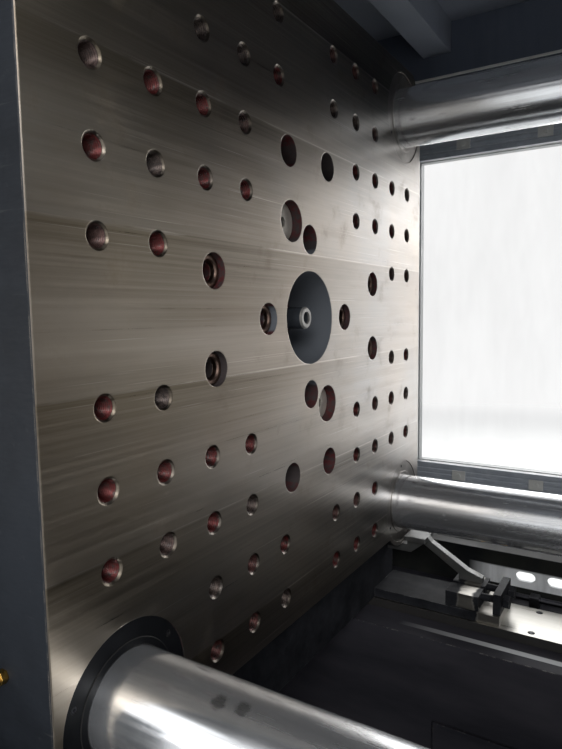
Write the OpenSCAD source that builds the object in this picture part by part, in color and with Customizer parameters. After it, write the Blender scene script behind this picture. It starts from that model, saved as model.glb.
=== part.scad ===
// Injection moulding machine: four tie bars, a direct hydraulic clamp and a reciprocating
// screw. X runs along the clamp axis from the clamp end to the injection end, Y from the
// operator's side to the rear and Z up. The origin is on the floor, under the middle.

/* [Machine] */
// Overall length of the machine
machine_l = 6000; // [5900:50:6600]
// Height of the clamp axis above the floor
axis_z = 1230; // [1180:10:1300]
// Height of the base's underside above the floor
foot_h = 90; // [70:5:120]
// Half the width over the fixed guards
guard_y = 706; // [690:2:740]
// Height of the guard roof above the clamp axis
roof_up = 630; // [560:10:700]

/* [Platens] */
// Reach of the platens beyond the tie bar axes, at the sides
boss_r = 81; // [76:1:92]
// Reach of the platens above the upper tie bar axes
top_reach = 86; // [80:1:100]
// Reach of the platens below the lower tie bar axes
low_reach = 57; // [50:1:62]
// Full depth of a platen casting
platen_t = 240; // [200:5:280]
// Thickness of the slab behind the mould face
slab_t = 110; // [100:5:130]
// Pitch of the mould fixing holes
grid_p = 70; // [70:0.5:72]
// Thread diameter of the mould fixing holes
bolt_d = 20; // [16:2:24]
// Depth of the mould fixing holes
bolt_depth = 45; // [35:1:55]
// Diameter of the locating bore in the middle of a platen
bore_d = 120; // [100:5:125]
// Diameter of the ejector passage holes
pass_d = 37; // [30:1:40]
// Bevel along the edges of a mould face
face_bevel = 1.5; // [1:0.5:4]

/* [Tie bars] */
// Diameter of the tie bars
tie_d = 95; // [85:1:100]
// Distance between tie bar axes, across and up
tie_pitch = 670; // [660:2:680]
// Diameter of the recess round a tie bar in the moving platen
recess_d = 145; // [135:1:150]
// Depth of that recess
recess_depth = 22; // [15:1:30]
// Diameter of the tie bar nuts
nut_d = 150; // [130:2:160]
// Length of the tie bar nuts
nut_l = 90; // [70:5:110]

/* [Clamp] */
// Distance between the mould faces with the mould space fully open
daylight = 1050; // [950:10:1150]
// Closing stroke of the moving platen
clamp_stroke = 750; // [600:10:800]
// Diameter of the clamp ram
ram_d = 320; // [280:5:340]
// Wall of the clamp cylinder
cylinder_wall = 50; // [35:1:60]
// Depth of the cylinder platen
cylinder_platen_t = 300; // [260:5:340]
// Diameter of the traverse rods
traverse_rod_d = 45; // [35:1:50]

/* [Ejector] */
// Forward stroke of the ejector plate
ejector_stroke = 130; // [80:5:135]
// Depth of the ejector housing behind the platen
ejector_l = 260; // [250:5:320]
// Thickness of the ejector plate
ejector_plate_t = 45; // [30:1:48]
// Diameter of the ejector guide rods
guide_d = 50; // [40:1:50]
// Diameter of the middle ejector rod
centre_rod_d = 29; // [20:1:40]

/* [Guards] */
// Thickness of the guard sheet
sheet_t = 6; // [4:1:8]
// Half the height of the door windows
window_up = 355; // [340:5:360]
// Thickness of a sliding door
door_t = 36; // [30:1:44]
// Thickness of the window sheet
pane_t = 8; // [6:1:10]
// Height of the rails that hold the rear window
window_rail_h = 46; // [40:1:60]
// Pitch of the clips on those rails
clip_p = 170; // [150:5:200]

/* [Injection unit] */
// Bore of the barrel
screw_d = 60; // [50:1:65]
// Outer diameter of the barrel
barrel_d = 130; // [110:2:140]
// Length of the barrel
barrel_l = 1380; // [1280:10:1420]
// Stroke of the screw
screw_stroke = 200; // [160:5:220]
// Pitch of the screw flight
flight_p = 60; // [50:2:70]
// Number of heater bands
band_n = 5; // [4:1:6]
// Outer diameter of the heater bands
band_d = 164; // [156:2:180]
// Diameter of the injection cylinders
shot_cylinder_d = 150; // [130:5:160]
// Diameter of the injection rods
shot_rod_d = 70; // [50:5:80]
// Travel of the injection carriage away from the platen
carriage_back = 200; // [150:10:240]
// Travel of the injection carriage towards the platen
carriage_in = 135; // [100:5:140]
// Diameter of the hopper
hopper_d = 560; // [480:10:620]

/* [Hidden] */
$fn = 72;

// Clearances
slide_gap = 0.3;
run_gap = 0.08;
seat_gap = 0.1;
eps = 1;

// Platens
platen_w = tie_pitch + 2 * boss_r;
platen_up = tie_pitch / 2 + top_reach;
platen_down = tie_pitch / 2 + low_reach;

// Stations along X, from the clamp end towards the injection end
x_end = machine_l / 2;
valve_l = 110;
x_cylinder_end = -x_end + 40 + valve_l;
cylinder_cap_t = 50;
x_bore_end = x_cylinder_end + cylinder_cap_t;
x_ram_end = x_bore_end + 60;
ram_grip = 370;
x_cyl = x_ram_end + ram_grip + clamp_stroke;
x_cyl_back = x_cyl - cylinder_platen_t;
gland_t = 60;
x_gland = x_cyl + gland_t;
x_ram_flange = x_gland + 30;
ram_flange_t = 40;
x_ejector_back = x_ram_flange + ram_flange_t;
x_mov_back = x_ejector_back + ejector_l;
x_mov = x_mov_back + platen_t;
x_mov_slab = x_mov - slab_t;
x_fix = x_mov + daylight;
x_fix_back = x_fix + platen_t;
x_split = x_fix_back + 40;

// Base section
beam_y = tie_pitch / 2 - 121;
beam_out_y = tie_pitch / 2 + 127;
way_t = 15;
way_below = 165;
way_down = tie_pitch / 2 + way_below;
way_top = axis_z - way_down;
beam_top = way_top - way_t;
shelf_z = beam_top - 120;
base_y = guard_y;
channel_z = 330;
way_y0 = tie_pitch / 2 - 60;
way_y1 = tie_pitch / 2 + 40;
shoe_t = 15;

// Guards
roof_z = axis_z + roof_up;
frame_depth = 40;
jamb_w = 60;
open_x0 = x_mov - 140;
open_x1 = x_fix - 20;
open_z0 = shelf_z + 35;
open_z1 = roof_z - 120;
gate_x0 = open_x0 - jamb_w;
gate_x1 = x_fix_back + 5;
panel_x1 = gate_x1 + 125;
door_lap = 40;
door_y = guard_y + 20;
door_x0 = open_x0 - door_lap;
door_x1 = open_x1 + door_lap;
door_z0 = open_z0 + 35;
door_z1 = roof_z - 60;
door_rim = 70;
door_travel = door_x1 - door_x0;
pane_y = door_y + 8;
handle_d = 24;
handle_reach = 38;
handle_y = door_y + door_t + handle_reach;
track_x0 = door_x0 - door_travel - 20;
track_top = roof_z - 22;

// Injection unit
deck_z = beam_top;
deck_y = guard_y - 86;
rail_y = 250;
rail_w = 60;
rail_h = 80;
rail_top = deck_z + rail_h;
land_l = 60;
nozzle_l = 180;
head_l = 80;
x_tip = x_fix + land_l + 25;
x_barrel = x_tip + nozzle_l + head_l;
barrel_seat = 350;
x_hub = x_barrel + barrel_l - barrel_seat;
hub_t = barrel_seat - 10;
x_hub_back = x_hub + hub_t;
shot_cylinder_l = screw_stroke + 160;
shot_y = 190;
x_cross = x_hub_back + shot_cylinder_l + 50;
cross_t = 100;
carriage_y = 150;
carriage_drop = 170;
x_throat = x_hub + 70;
throat_d = 70;
hub_up = 200;
hub_half = 150;
neck_d = 190;
neck_h = 60;
throat_top = axis_z + hub_up + neck_h;

// A box between two corners
module block(x0, x1, y0, y1, z0, z1) {
    translate([x0, y0, z0]) cube([x1 - x0, y1 - y0, z1 - z0]);
}

// A round bar along X, its place given from the clamp axis
module bar(x0, x1, d, y = 0, z = 0) {
    translate([x0, y, axis_z + z]) rotate([0, 90, 0]) cylinder(d = d, h = x1 - x0);
}

// A body turned about X from a profile of [radius, x] points
module turned(points, y = 0, z = 0) {
    translate([0, y, axis_z + z]) rotate([0, 90, 0]) rotate_extrude() polygon(points);
}

// The same thing at the four tie bars, in a frame on the clamp axis
module at_tie_bars() {
    for (sy = [-1, 1], sz = [-1, 1])
        translate([0, sy * tie_pitch / 2, axis_z + sz * tie_pitch / 2]) children();
}

// The operator's side and the rear, mirrored
module both_sides() {
    children();
    mirror([0, 1, 0]) children();
}

// Feet

foot_d = 170;
foot_pad_h = 24;
foot_cone_h = 8;
stud_d = 36;
lock_nut_d = 66;
lock_nut_h = 30;
foot_in = 110;
clamp_foot_xs = [for (i = [0 : 3]) -x_end + 220 + i * (x_split + x_end - 440) / 3];
injection_foot_xs = [for (i = [0 : 2]) x_split + 220 + i * (x_end - x_split - 440) / 2];

module levelling_foot() {
    cylinder(d = foot_d, h = foot_pad_h);
    translate([0, 0, foot_pad_h])
        cylinder(d1 = foot_d, d2 = foot_d - 30, h = foot_cone_h);
    cylinder(d = stud_d, h = foot_h);
    translate([0, 0, foot_h - lock_nut_h]) cylinder(d = lock_nut_d, h = lock_nut_h, $fn = 6);
}

module levelling_feet() {
    color("dimgray") both_sides() {
        for (x = clamp_foot_xs) translate([x, base_y - foot_in, 0]) levelling_foot();
        for (x = injection_foot_xs) translate([x, deck_y - foot_in, 0]) levelling_foot();
    }
}

// Clamp base

chute_x0 = x_mov + 90;
chute_x1 = x_fix - 110;
chute_z0 = 190;
chute_z1 = shelf_z - 40;
end_wall = 40;
seam_w = 4;
seam_depth = 6;
seam_z0 = foot_h + 60;
seam_z1 = shelf_z - 50;

// Groove that marks the edge of a service panel on the +Y face at y
module panel_seam(x0, x1, y, z0, z1) {
    difference() {
        block(x0, x1, y - seam_depth, y + eps, z0, z1);
        block(x0 + seam_w, x1 - seam_w, y - seam_depth - eps, y + 2 * eps, z0 + seam_w,
            z1 - seam_w);
    }
}

module clamp_base_seams() {
    left_l = chute_x0 - 60 + x_end;
    for (i = [0, 1]) panel_seam(-x_end + 40 + i * left_l / 2, -x_end + (i + 1) * left_l / 2,
        base_y, seam_z0, seam_z1);
    panel_seam(chute_x1 + 60, x_split - 60, base_y, seam_z0, seam_z1);
}

module clamp_base() {
    color("slategray") difference() {
        union() {
            block(-x_end, x_split, -base_y, base_y, foot_h, shelf_z);
            block(-x_end, x_split, -beam_out_y, beam_out_y, foot_h, beam_top);
        }
        block(-x_end + end_wall, x_split + eps, -beam_y, beam_y, channel_z, beam_top + eps);
        block(chute_x0, chute_x1, -base_y - eps, -beam_y + eps, chute_z0, chute_z1);
        both_sides() clamp_base_seams();
        panel_seam(chute_x0, chute_x1, base_y, seam_z0, seam_z1);
    }
}

module slide_ways() {
    color("gainsboro") both_sides()
        block(x_mov - 420, x_fix - 15, way_y0, way_y1, beam_top, way_top);
}

// Upright plates along the beams, with a row of slots and a folded top edge

splash_t = 6;
splash_h = 72;
splash_fold = 26;
splash_x0 = x_mov - 300;
slot_l = 34;
slot_w = 18;
slot_p = 54;
slot_x0 = x_mov + 193;
slot_up = 32;

module splash_plates() {
    color("lightslategray") both_sides() difference() {
        union() {
            block(splash_x0, x_fix - 15, beam_out_y - splash_t, beam_out_y, beam_top,
                beam_top + splash_h);
            block(splash_x0, x_fix - 15, beam_out_y - splash_t, beam_out_y + splash_fold,
                beam_top + splash_h - splash_t, beam_top + splash_h);
        }
        for (x = [slot_x0 : slot_p : x_fix - 60])
            translate([x, beam_out_y, beam_top + slot_up])
                rotate([90, 0, 0]) slot_cutter(slot_l, slot_w, 4 * splash_t);
    }
}

module slot_cutter(l, w, h) {
    for (s = [-1, 1]) translate([s * (l - w) / 2, 0, -h / 2]) cylinder(d = w, h = h);
    translate([-(l - w) / 2, -w / 2, -h / 2]) cube([l - w, w, h]);
}

// Grease pipe clipped along each beam
pipe_d = 10;
pipe_y = tie_pitch / 2 + 70;
pipe_up = 17;
pipe_clip_w = 16;

module grease_pipes() {
    x0 = x_mov + 150;
    x1 = x_fix - 30;
    color("dimgray") both_sides() difference() {
        union() {
            translate([x0, pipe_y, beam_top + pipe_up]) rotate([0, 90, 0])
                cylinder(d = pipe_d, h = x1 - x0);
            for (x = [x0 + 60 : 280 : x1 - 40]) block(x, x + pipe_clip_w,
                pipe_y - pipe_d, pipe_y + pipe_d, beam_top, beam_top + pipe_up + pipe_d / 2 + 1);
        }
        translate([x0 - eps, pipe_y, beam_top + pipe_up]) rotate([0, 90, 0])
            cylinder(d = pipe_d - 4, h = 20);
    }
}

// Folded sheet that leads the mouldings from the channel out through the front opening

chute_t = 5;
chute_drop = 190;
chute_lip = 60;

module product_chute() {
    color("darkslategray")
        translate([chute_x1 - 10, 0, 0]) rotate([90, 0, -90])
            linear_extrude(chute_x1 - chute_x0 - 20) product_chute_section();
}

module product_chute_section() {
    inner = beam_y - 0.5;
    high = channel_z + chute_drop;
    low = channel_z + chute_t + 20;
    lip = chute_z0 + 26;
    polygon([[-inner, high + chute_lip], [-inner, high], [inner, low], [base_y - 30, lip],
        [base_y - 30, lip + chute_t], [inner, low + chute_t],
        [-inner + chute_t, high + chute_t], [-inner + chute_t, high + chute_lip]]);
}

// Platens. Each is drawn with its mould face at x = 0 and its body towards -X.

corner_cut = 40;
boss_z = axis_z - tie_pitch / 2 - boss_r;
pocket_y = 215;
pocket_in = tie_pitch / 2 - 23;
pocket_reach = 200;
rib_t = 26;

module yz_outline() {
    y = platen_w / 2;
    c = corner_cut;
    z = tie_pitch / 2;
    low = platen_down - z;
    polygon([[-y + low, -platen_down], [y - low, -platen_down], [y, -z], [y, platen_up - c],
        [y - c, platen_up], [-y + c, platen_up], [-y, platen_up - c], [-y, -z]]);
}

module platen_blank(t) {
    y = platen_w / 2;
    b = face_bevel;
    intersection() {
        translate([-t, 0, 0]) rotate([90, 0, 90]) linear_extrude(t) yz_outline();
        translate([0, 0, -platen_down]) linear_extrude(platen_up + platen_down)
            polygon([[-t, -y], [-b, -y], [0, -y + b], [0, y - b], [-b, y], [-t, y]]);
        translate([0, y, 0]) rotate([90, 0, 0]) linear_extrude(2 * y)
            polygon([[-t, -platen_down], [-b, -platen_down], [0, -platen_down + b],
                [0, platen_up - b], [-b, platen_up], [-t, platen_up]]);
    }
    for (s = [-1, 1]) translate([-t, s * tie_pitch / 2, -tie_pitch / 2])
        rotate([0, 90, 0]) tie_boss(t, boss_r);
}

module tie_boss(t, r) {
    b = face_bevel;
    rotate_extrude() polygon([[0, 0], [r, 0], [r, t - b], [r - b, t], [0, t]]);
}

function bolt_rows(column) = column == 1 ? [4, 5] : column < 4 ? [2, 3, 4, 5] : [1, 2, 3];

module tapped_hole(d, depth, lead = 2) {
    rotate([0, -90, 0]) {
        translate([0, 0, -0.01]) cylinder(d = d, h = depth, $fn = 32);
        translate([0, 0, -0.01]) cylinder(d1 = d + 2 * lead, d2 = d, h = lead, $fn = 32);
    }
}

module fixing_holes() {
    for (column = [1 : 5], row = bolt_rows(column), sy = [-1, 1], sz = [-1, 1])
        translate([0, sy * column * grid_p, sz * row * grid_p])
            tapped_hole(bolt_d, bolt_depth);
}

// Pockets in the back, open to the two side edges
module side_pockets(t) {
    for (s = [-1, 1]) translate([0, s * (pocket_in + pocket_reach), 0]) pocket_pair(t);
}

// Pockets in the back, open to the top edge where s is 1 and to the bottom edge where it is -1
module level_pockets(t, s) {
    translate([0, 0, s * (pocket_in + pocket_reach)]) rotate([90, 0, 0]) pocket_pair(t);
}

module pocket_pair(t) {
    for (z = [-pocket_y, rib_t / 2]) translate([-t - eps, -pocket_reach, z])
        cube([t - slab_t + eps, 2 * pocket_reach, pocket_y - rib_t / 2]);
}

pass_holes = [[50, 200], [200, 50]];
side_pass = 100;
step_d = 22;
step_depth = 14;
guide_at = [-45, 118];

module ejector_holes(t) {
    through = t + 2 * eps;
    for (sy = [-1, 1], sz = [-1, 1]) {
        plain_pass(sy * pass_holes[0][0], sz * pass_holes[0][1], through);
        stepped_pass(sy * pass_holes[1][0], sz * pass_holes[1][1], through);
    }
    for (s = [-1, 1]) {
        stepped_pass(s * side_pass, 0, through);
        plain_pass(0, s * side_pass, through);
        translate([eps, s * guide_at[0], s * guide_at[1]]) rotate([0, -90, 0])
            cylinder(d = guide_d + 2 * run_gap, h = through);
    }
}

module plain_pass(y, z, through) {
    translate([eps, y, z]) rotate([0, -90, 0]) cylinder(d = pass_d, h = through, $fn = 48);
}

// Passage that narrows behind the face, so that a bush can be screwed in
module stepped_pass(y, z, through) {
    translate([eps, y, z]) rotate([0, -90, 0]) {
        cylinder(d = pass_d, h = step_depth + eps, $fn = 48);
        cylinder(d = step_d, h = through, $fn = 48);
    }
}

bush_d = tie_d + 26;

module moving_platen() {
    color("silver") difference() {
        translate([x_mov, 0, axis_z]) difference() {
            platen_blank(platen_t);
            fixing_holes();
            ejector_holes(platen_t);
            side_pockets(platen_t);
            for (s = [-1, 1]) level_pockets(platen_t, s);
            translate([eps, 0, 0]) rotate([0, -90, 0])
                cylinder(d = bore_d, h = platen_t + 2 * eps);
        }
        at_tie_bars() translate([x_mov_back - eps, 0, 0]) rotate([0, 90, 0])
            cylinder(d = bush_d + 2 * run_gap, h = platen_t + 2 * eps);
        at_tie_bars() translate([x_mov - recess_depth, 0, 0]) rotate([0, 90, 0])
            cylinder(d = recess_d, h = recess_depth + eps);
        for (s = [-1, 1]) bar(x_mov_back - eps, x_eject_body, eject_body_d + 2 * seat_gap,
            s * eject_cyl_at, s * eject_cyl_at);
    }
}

module platen_bushes() {
    color("darkgoldenrod") at_tie_bars() translate([x_mov_back, 0, 0])
        rotate([0, 90, 0]) difference() {
            cylinder(d = bush_d, h = platen_t - recess_depth);
            translate([0, 0, -eps])
                cylinder(d = tie_d + 2 * run_gap, h = platen_t - recess_depth + 2 * eps);
        }
}

wiper_sunk = 1;
wiper_lip = 14;
wiper_screw_d = 6;
wiper_screw_in = 8;
wiper_turns = [247, 183];

// Flat ring round each tie bar, held by three small screws near its rim
module wiper_ring(turn) {
    t = recess_depth - wiper_sunk;
    difference() {
        union() {
            cylinder(d = recess_d - 2 * seat_gap, h = t);
            cylinder(d = tie_d + wiper_lip, h = recess_depth - seat_gap);
        }
        translate([0, 0, -eps]) cylinder(d = tie_d + 2 * slide_gap, h = recess_depth + 2 * eps);
        for (a = [0 : 120 : 240]) rotate([0, 0, turn + a])
            translate([recess_d / 2 - wiper_screw_in, 0, t / 2])
                cylinder(d = wiper_screw_d, h = t, $fn = 24);
    }
}

module wiper_rings() {
    color("darkslategray") for (side = [0, 1], sz = [-1, 1])
        translate([x_mov - recess_depth, (2 * side - 1) * tie_pitch / 2,
            axis_z + sz * tie_pitch / 2])
            rotate([0, 90, 0]) wiper_ring(wiper_turns[side]);
}

// Feet that carry a fixed platen on the two beams
module platen_feet(x0, x1) {
    both_sides() block(x0, x1, beam_y + 26, platen_w / 2 - corner_cut, beam_top,
        axis_z - tie_pitch / 2);
}

cone_d = 300;
lug_t = 20;
guard_pin_d = 12;
guard_pin_x = x_fix_back + 16;
guard_pin_z = axis_z + 208;

module purge_guard_lug() {
    translate([0, purge_half + 1, 0]) rotate([-90, 0, 0]) difference() {
        union() {
            translate([guard_pin_x, -guard_pin_z, 0]) cylinder(d = 28, h = lug_t);
            translate([x_fix_back - eps, -guard_pin_z - 14, 0])
                cube([guard_pin_x - x_fix_back + eps, 28, lug_t]);
        }
        translate([guard_pin_x, -guard_pin_z, -eps])
            cylinder(d = guard_pin_d + 2 * run_gap, h = lug_t + 2 * eps);
    }
}

module stationary_platen() {
    color("silver") difference() {
        union() {
            translate([x_fix, 0, axis_z]) mirror([1, 0, 0]) difference() {
                platen_blank(platen_t);
                fixing_holes();
                side_pockets(platen_t);
                level_pockets(platen_t, 1);
            }
            platen_feet(x_fix + 20, x_fix_back);
            both_sides() purge_guard_lug();
        }
        bar(x_fix - eps, x_fix + land_l + eps, bore_d);
        translate([x_fix + land_l, 0, axis_z]) rotate([0, 90, 0])
            cylinder(d1 = bore_d, d2 = cone_d, h = platen_t - land_l + 0.01);
        at_tie_bars() translate([x_fix - eps, 0, 0]) rotate([0, 90, 0])
            cylinder(d = tie_d + 2 * seat_gap, h = platen_t + 2 * eps);
    }
}

cylinder_d = ram_d + 2 * cylinder_wall;
traverse_at = [tie_pitch / 2 + 23, 114];
traverse_d = traverse_rod_d + 40;

module cylinder_platen() {
    color("slategray") difference() {
        union() {
            translate([x_cyl, 0, axis_z]) difference() {
                platen_blank(cylinder_platen_t);
                side_pockets(cylinder_platen_t);
            }
            platen_feet(x_cyl_back, x_cyl - 20);
        }
        bar(x_cyl_back - eps, x_cyl + eps, cylinder_d + 2 * seat_gap);
        at_tie_bars() translate([x_cyl_back - eps, 0, 0]) rotate([0, 90, 0])
            cylinder(d = tie_d + 2 * seat_gap, h = cylinder_platen_t + 2 * eps);
        for (s = [-1, 1]) bar(x_cyl_back - eps, x_cyl + eps, traverse_d + 2 * seat_gap,
            s * traverse_at[0], s * traverse_at[1]);
    }
}

// Tie bars

tie_tail = 30;
x_tie0 = x_cyl_back - nut_l - tie_tail;
x_tie1 = x_fix_back + nut_l + tie_tail;

tie_edge = 5;

module tie_bars() {
    r = tie_d / 2;
    color("whitesmoke") for (sy = [-1, 1], sz = [-1, 1])
        turned([[0, x_tie0], [r - tie_edge, x_tie0], [r, x_tie0 + tie_edge],
            [r, x_tie1 - tie_edge], [r - tie_edge, x_tie1], [0, x_tie1]],
            sy * tie_pitch / 2, sz * tie_pitch / 2);
}

module tie_bar_nut() {
    rotate([0, 90, 0]) difference() {
        cylinder(d = nut_d, h = nut_l);
        translate([0, 0, -eps]) cylinder(d = tie_d + 2 * seat_gap, h = nut_l + 2 * eps);
        for (a = [0 : 60 : 300]) rotate([0, 0, a])
            translate([nut_d / 2 - 9, -9, 12]) cube([20, 18, nut_l - 24]);
    }
}

module tie_bar_nuts() {
    color("dimgray") at_tie_bars() {
        translate([x_cyl_back - nut_l, 0, 0]) tie_bar_nut();
        translate([x_fix_back, 0, 0]) tie_bar_nut();
    }
}

// Clamp cylinder, ram and traverse cylinders

flange_d = 540;
flange_t = 40;
ram_clear = 2;
ram_rim = 66;
valve_d = 240;
cap_rim = 12;

module main_cylinder() {
    r = cylinder_d / 2;
    bore = ram_d / 2 + ram_clear;
    seal = ram_d / 2 + run_gap;
    valve = valve_d / 2;
    x_valve = x_cylinder_end - valve_l;
    x_seal = x_cyl - 30;
    color("steelblue") turned([[0, x_valve], [valve, x_valve], [valve, x_cylinder_end],
        [r + cap_rim, x_cylinder_end], [r + cap_rim, x_bore_end], [r, x_bore_end + cap_rim],
        [r, x_cyl], [flange_d / 2, x_cyl], [flange_d / 2, x_cyl + flange_t],
        [ram_d / 2 + ram_rim, x_cyl + flange_t], [ram_d / 2 + ram_rim, x_gland],
        [seal, x_gland], [seal, x_seal], [bore, x_seal], [bore, x_bore_end],
        [0, x_bore_end]]);
}

module clamp_ram() {
    r = ram_d / 2;
    edge = 6;
    color("whitesmoke") turned([[0, x_ram_end], [r - edge, x_ram_end],
        [r, x_ram_end + edge], [r, x_ram_flange], [r + ram_rim - edge, x_ram_flange],
        [r + ram_rim, x_ram_flange + edge], [r + ram_rim, x_ejector_back],
        [0, x_ejector_back]]);
}

x_traverse0 = x_cyl - clamp_stroke - 370;
x_traverse1 = x_cyl + 20;
traverse_bore = traverse_rod_d + 16;

module traverse_cylinders() {
    r = traverse_d / 2;
    bore = traverse_bore / 2;
    seal = traverse_rod_d / 2 + run_gap;
    color("steelblue") for (s = [-1, 1])
        turned([[0, x_traverse0], [r, x_traverse0], [r, x_traverse1], [seal, x_traverse1],
            [seal, x_traverse1 - 50], [bore, x_traverse1 - 50], [bore, x_traverse0 + 20],
            [0, x_traverse0 + 20]], s * traverse_at[0], s * traverse_at[1]);
}

module traverse_rods() {
    r = traverse_rod_d / 2;
    piston = traverse_bore / 2 - run_gap;
    x0 = x_traverse0 + 40;
    color("whitesmoke") for (s = [-1, 1])
        turned([[0, x0], [piston, x0], [piston, x0 + 50], [r, x0 + 50], [r, x_mov_slab - 60],
            [r + 16, x_mov_slab - 60], [r + 16, x_mov_slab], [0, x_mov_slab]],
            s * traverse_at[0], s * traverse_at[1]);
}

// Ejector

housing_half = 300;
housing_cut = 110;
housing_wall = 45;
housing_plate = 40;
x_eject_body = x_mov - 99;
eject_cyl_at = 150;
eject_body_d = 80;
eject_rod_d = 36;
x_eject_plate = x_ejector_back + housing_plate + 10;

module octagon(half, cut) {
    a = half;
    c = half - cut;
    polygon([[-a, -c], [-c, -a], [c, -a], [a, -c], [a, c], [c, a], [-c, a], [-a, c]]);
}

module yz_slab(x0, x1) {
    translate([x0, 0, axis_z]) rotate([90, 0, 90]) linear_extrude(x1 - x0) children();
}

module ejector_housing() {
    window_x0 = x_ejector_back + housing_plate + 40;
    color("slategray") difference() {
        yz_slab(x_ejector_back, x_mov_back) octagon(housing_half, housing_cut);
        yz_slab(x_ejector_back + housing_plate, x_mov_back + eps)
            octagon(housing_half - housing_wall, housing_cut - 20);
        block(window_x0, x_mov_back - 40, -housing_half - eps, housing_half + eps,
            axis_z - 120, axis_z + 120);
    }
}

module ejector_guide_rods() {
    r = guide_d / 2;
    tip = x_mov - 13;
    x0 = x_ejector_back + housing_plate;
    color("gainsboro") for (s = [-1, 1])
        turned([[0, x0], [r, x0], [r, tip - 2], [r - 2, tip], [6, tip], [6, tip - 30],
            [0, tip - 30]], s * guide_at[0], s * guide_at[1]);
}

module ejector_cylinders() {
    r = eject_body_d / 2;
    bore = eject_rod_d / 2 + run_gap;
    x0 = x_mov_back - 28;
    color("steelblue") for (s = [-1, 1])
        turned([[bore, x0], [r - 4, x0], [r, x0 + 4], [r, x_eject_body], [0, x_eject_body],
            [0, x_eject_body - 6], [bore, x_eject_body - 6]],
            s * eject_cyl_at, s * eject_cyl_at);
}

rod_thread_d = 14;
rod_thread_l = 25;

// Blind hole for an ejector rod, in the plate's front face at x
module rod_thread(x, y, z) {
    bar(x - rod_thread_l, x + eps, rod_thread_d, y, z);
}

module ejector_plate() {
    x1 = x_eject_plate + ejector_plate_t;
    color("lightgray") difference() {
        yz_slab(x_eject_plate, x1) octagon(housing_half - housing_wall - 16, 90);
        for (s = [-1, 1]) bar(x_eject_plate - eps, x1 + eps, guide_d + 2 * run_gap,
            s * guide_at[0], s * guide_at[1]);
        for (p = pass_holes, sy = [-1, 1], sz = [-1, 1])
            rod_thread(x1, sy * p[0], sz * p[1]);
        for (s = [-1, 1]) {
            rod_thread(x1, s * side_pass, 0);
            rod_thread(x1, 0, s * side_pass);
        }
    }
}

module ejector_rods() {
    r = centre_rod_d / 2;
    x0 = x_eject_plate + ejector_plate_t;
    tip = x_mov - 6;
    piston = eject_rod_d / 2;
    piston_tip = x_eject_body - 10 - ejector_stroke;
    color("gainsboro") {
        turned([[0, x0], [r + 14, x0], [r + 14, x0 + 20], [r, x0 + 20], [r, tip - 2],
            [r - 2, tip], [8, tip], [8, tip - 40], [0, tip - 40]]);
        for (s = [-1, 1])
            turned([[0, x0], [piston, x0], [piston, piston_tip], [0, piston_tip]],
                s * eject_cyl_at, s * eject_cyl_at);
    }
}

// Sliding feet of the moving platen

shoe_y0 = way_y0 + 5;
shoe_y1 = way_y1 - 5;
shoe_x0 = x_mov - platen_t - 60;
shoe_x1 = x_mov + 185;
shoe_z0 = way_top + slide_gap;
shoe_z1 = shoe_z0 + shoe_t;
under_z = axis_z - platen_down;

cross_x = x_mov - 30;
cross_plate_t = 20;

module platen_skates() {
    color("dimgray") difference() {
        union() {
            both_sides() {
                block(shoe_x0, shoe_x1, shoe_y0, shoe_y1, shoe_z0, shoe_z1);
                block(x_mov_back + 10, cross_x, shoe_y0 + 6, shoe_y1 - 6, shoe_z0, under_z);
            }
            block(cross_x - cross_plate_t, cross_x, -shoe_y1 + 6, shoe_y1 - 6, shoe_z0,
                under_z);
            block(x_mov_back + 10, x_mov_back + 10 + cross_plate_t, -shoe_y1 + 6,
                shoe_y1 - 6, shoe_z0 + 20, under_z);
        }
        for (s = [-1, 1]) bar(x_mov_back, x_mov, 2 * (boss_r + seat_gap),
            s * tie_pitch / 2, -tie_pitch / 2);
    }
}

brace_y0 = shoe_y1 - 30;
brace_t = 14;
brace_web = 14;
head_x0 = x_mov + 8;
head_x1 = x_mov + 46;
head_t = 8;
head_z = axis_z - tie_pitch / 2 - boss_r + 20;
head_side = 15;
seat_x0 = x_mov + 96;
seat_x1 = x_mov + 150;
seat_h = 24;
seat_gap_w = 9;
seat_floor = 9;

tip_in = 7;
tip_h = 9;

// Lever from the cross plate, up in front of the platen and down to the seat on the shoe
module skate_braces() {
    under = boss_z - seat_gap;
    foot = shoe_z1 + seat_h;
    color("gainsboro") both_sides() {
        translate([0, brace_y0 + brace_t, 0]) rotate([90, 0, 0]) linear_extrude(brace_t)
            polygon([[cross_x, under - brace_web], [head_x0 + tip_in, under - brace_web],
                [head_x1 - tip_in, head_z - brace_web], [seat_x0 + tip_in, foot + tip_h],
                [seat_x0 + tip_in, foot], [seat_x1 - tip_in, foot],
                [seat_x1 - tip_in, foot + tip_h], [seat_x0 + 3 * tip_in, foot + 2 * tip_h],
                [head_x1 + tip_in, head_z - head_t], [head_x1, head_z],
                [head_x0, head_z], [head_x0, under], [cross_x, under]]);
        block(head_x0, head_x1, brace_y0 - head_side, brace_y0 + brace_t + head_side,
            head_z - head_t, head_z);
    }
}

screw_ys = [shoe_y0 + 24, shoe_y1 - 24];
screw_up = 18;
wedge_screw_d = 12;
screw_head_l = 9;
stop_t = 12;

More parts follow.
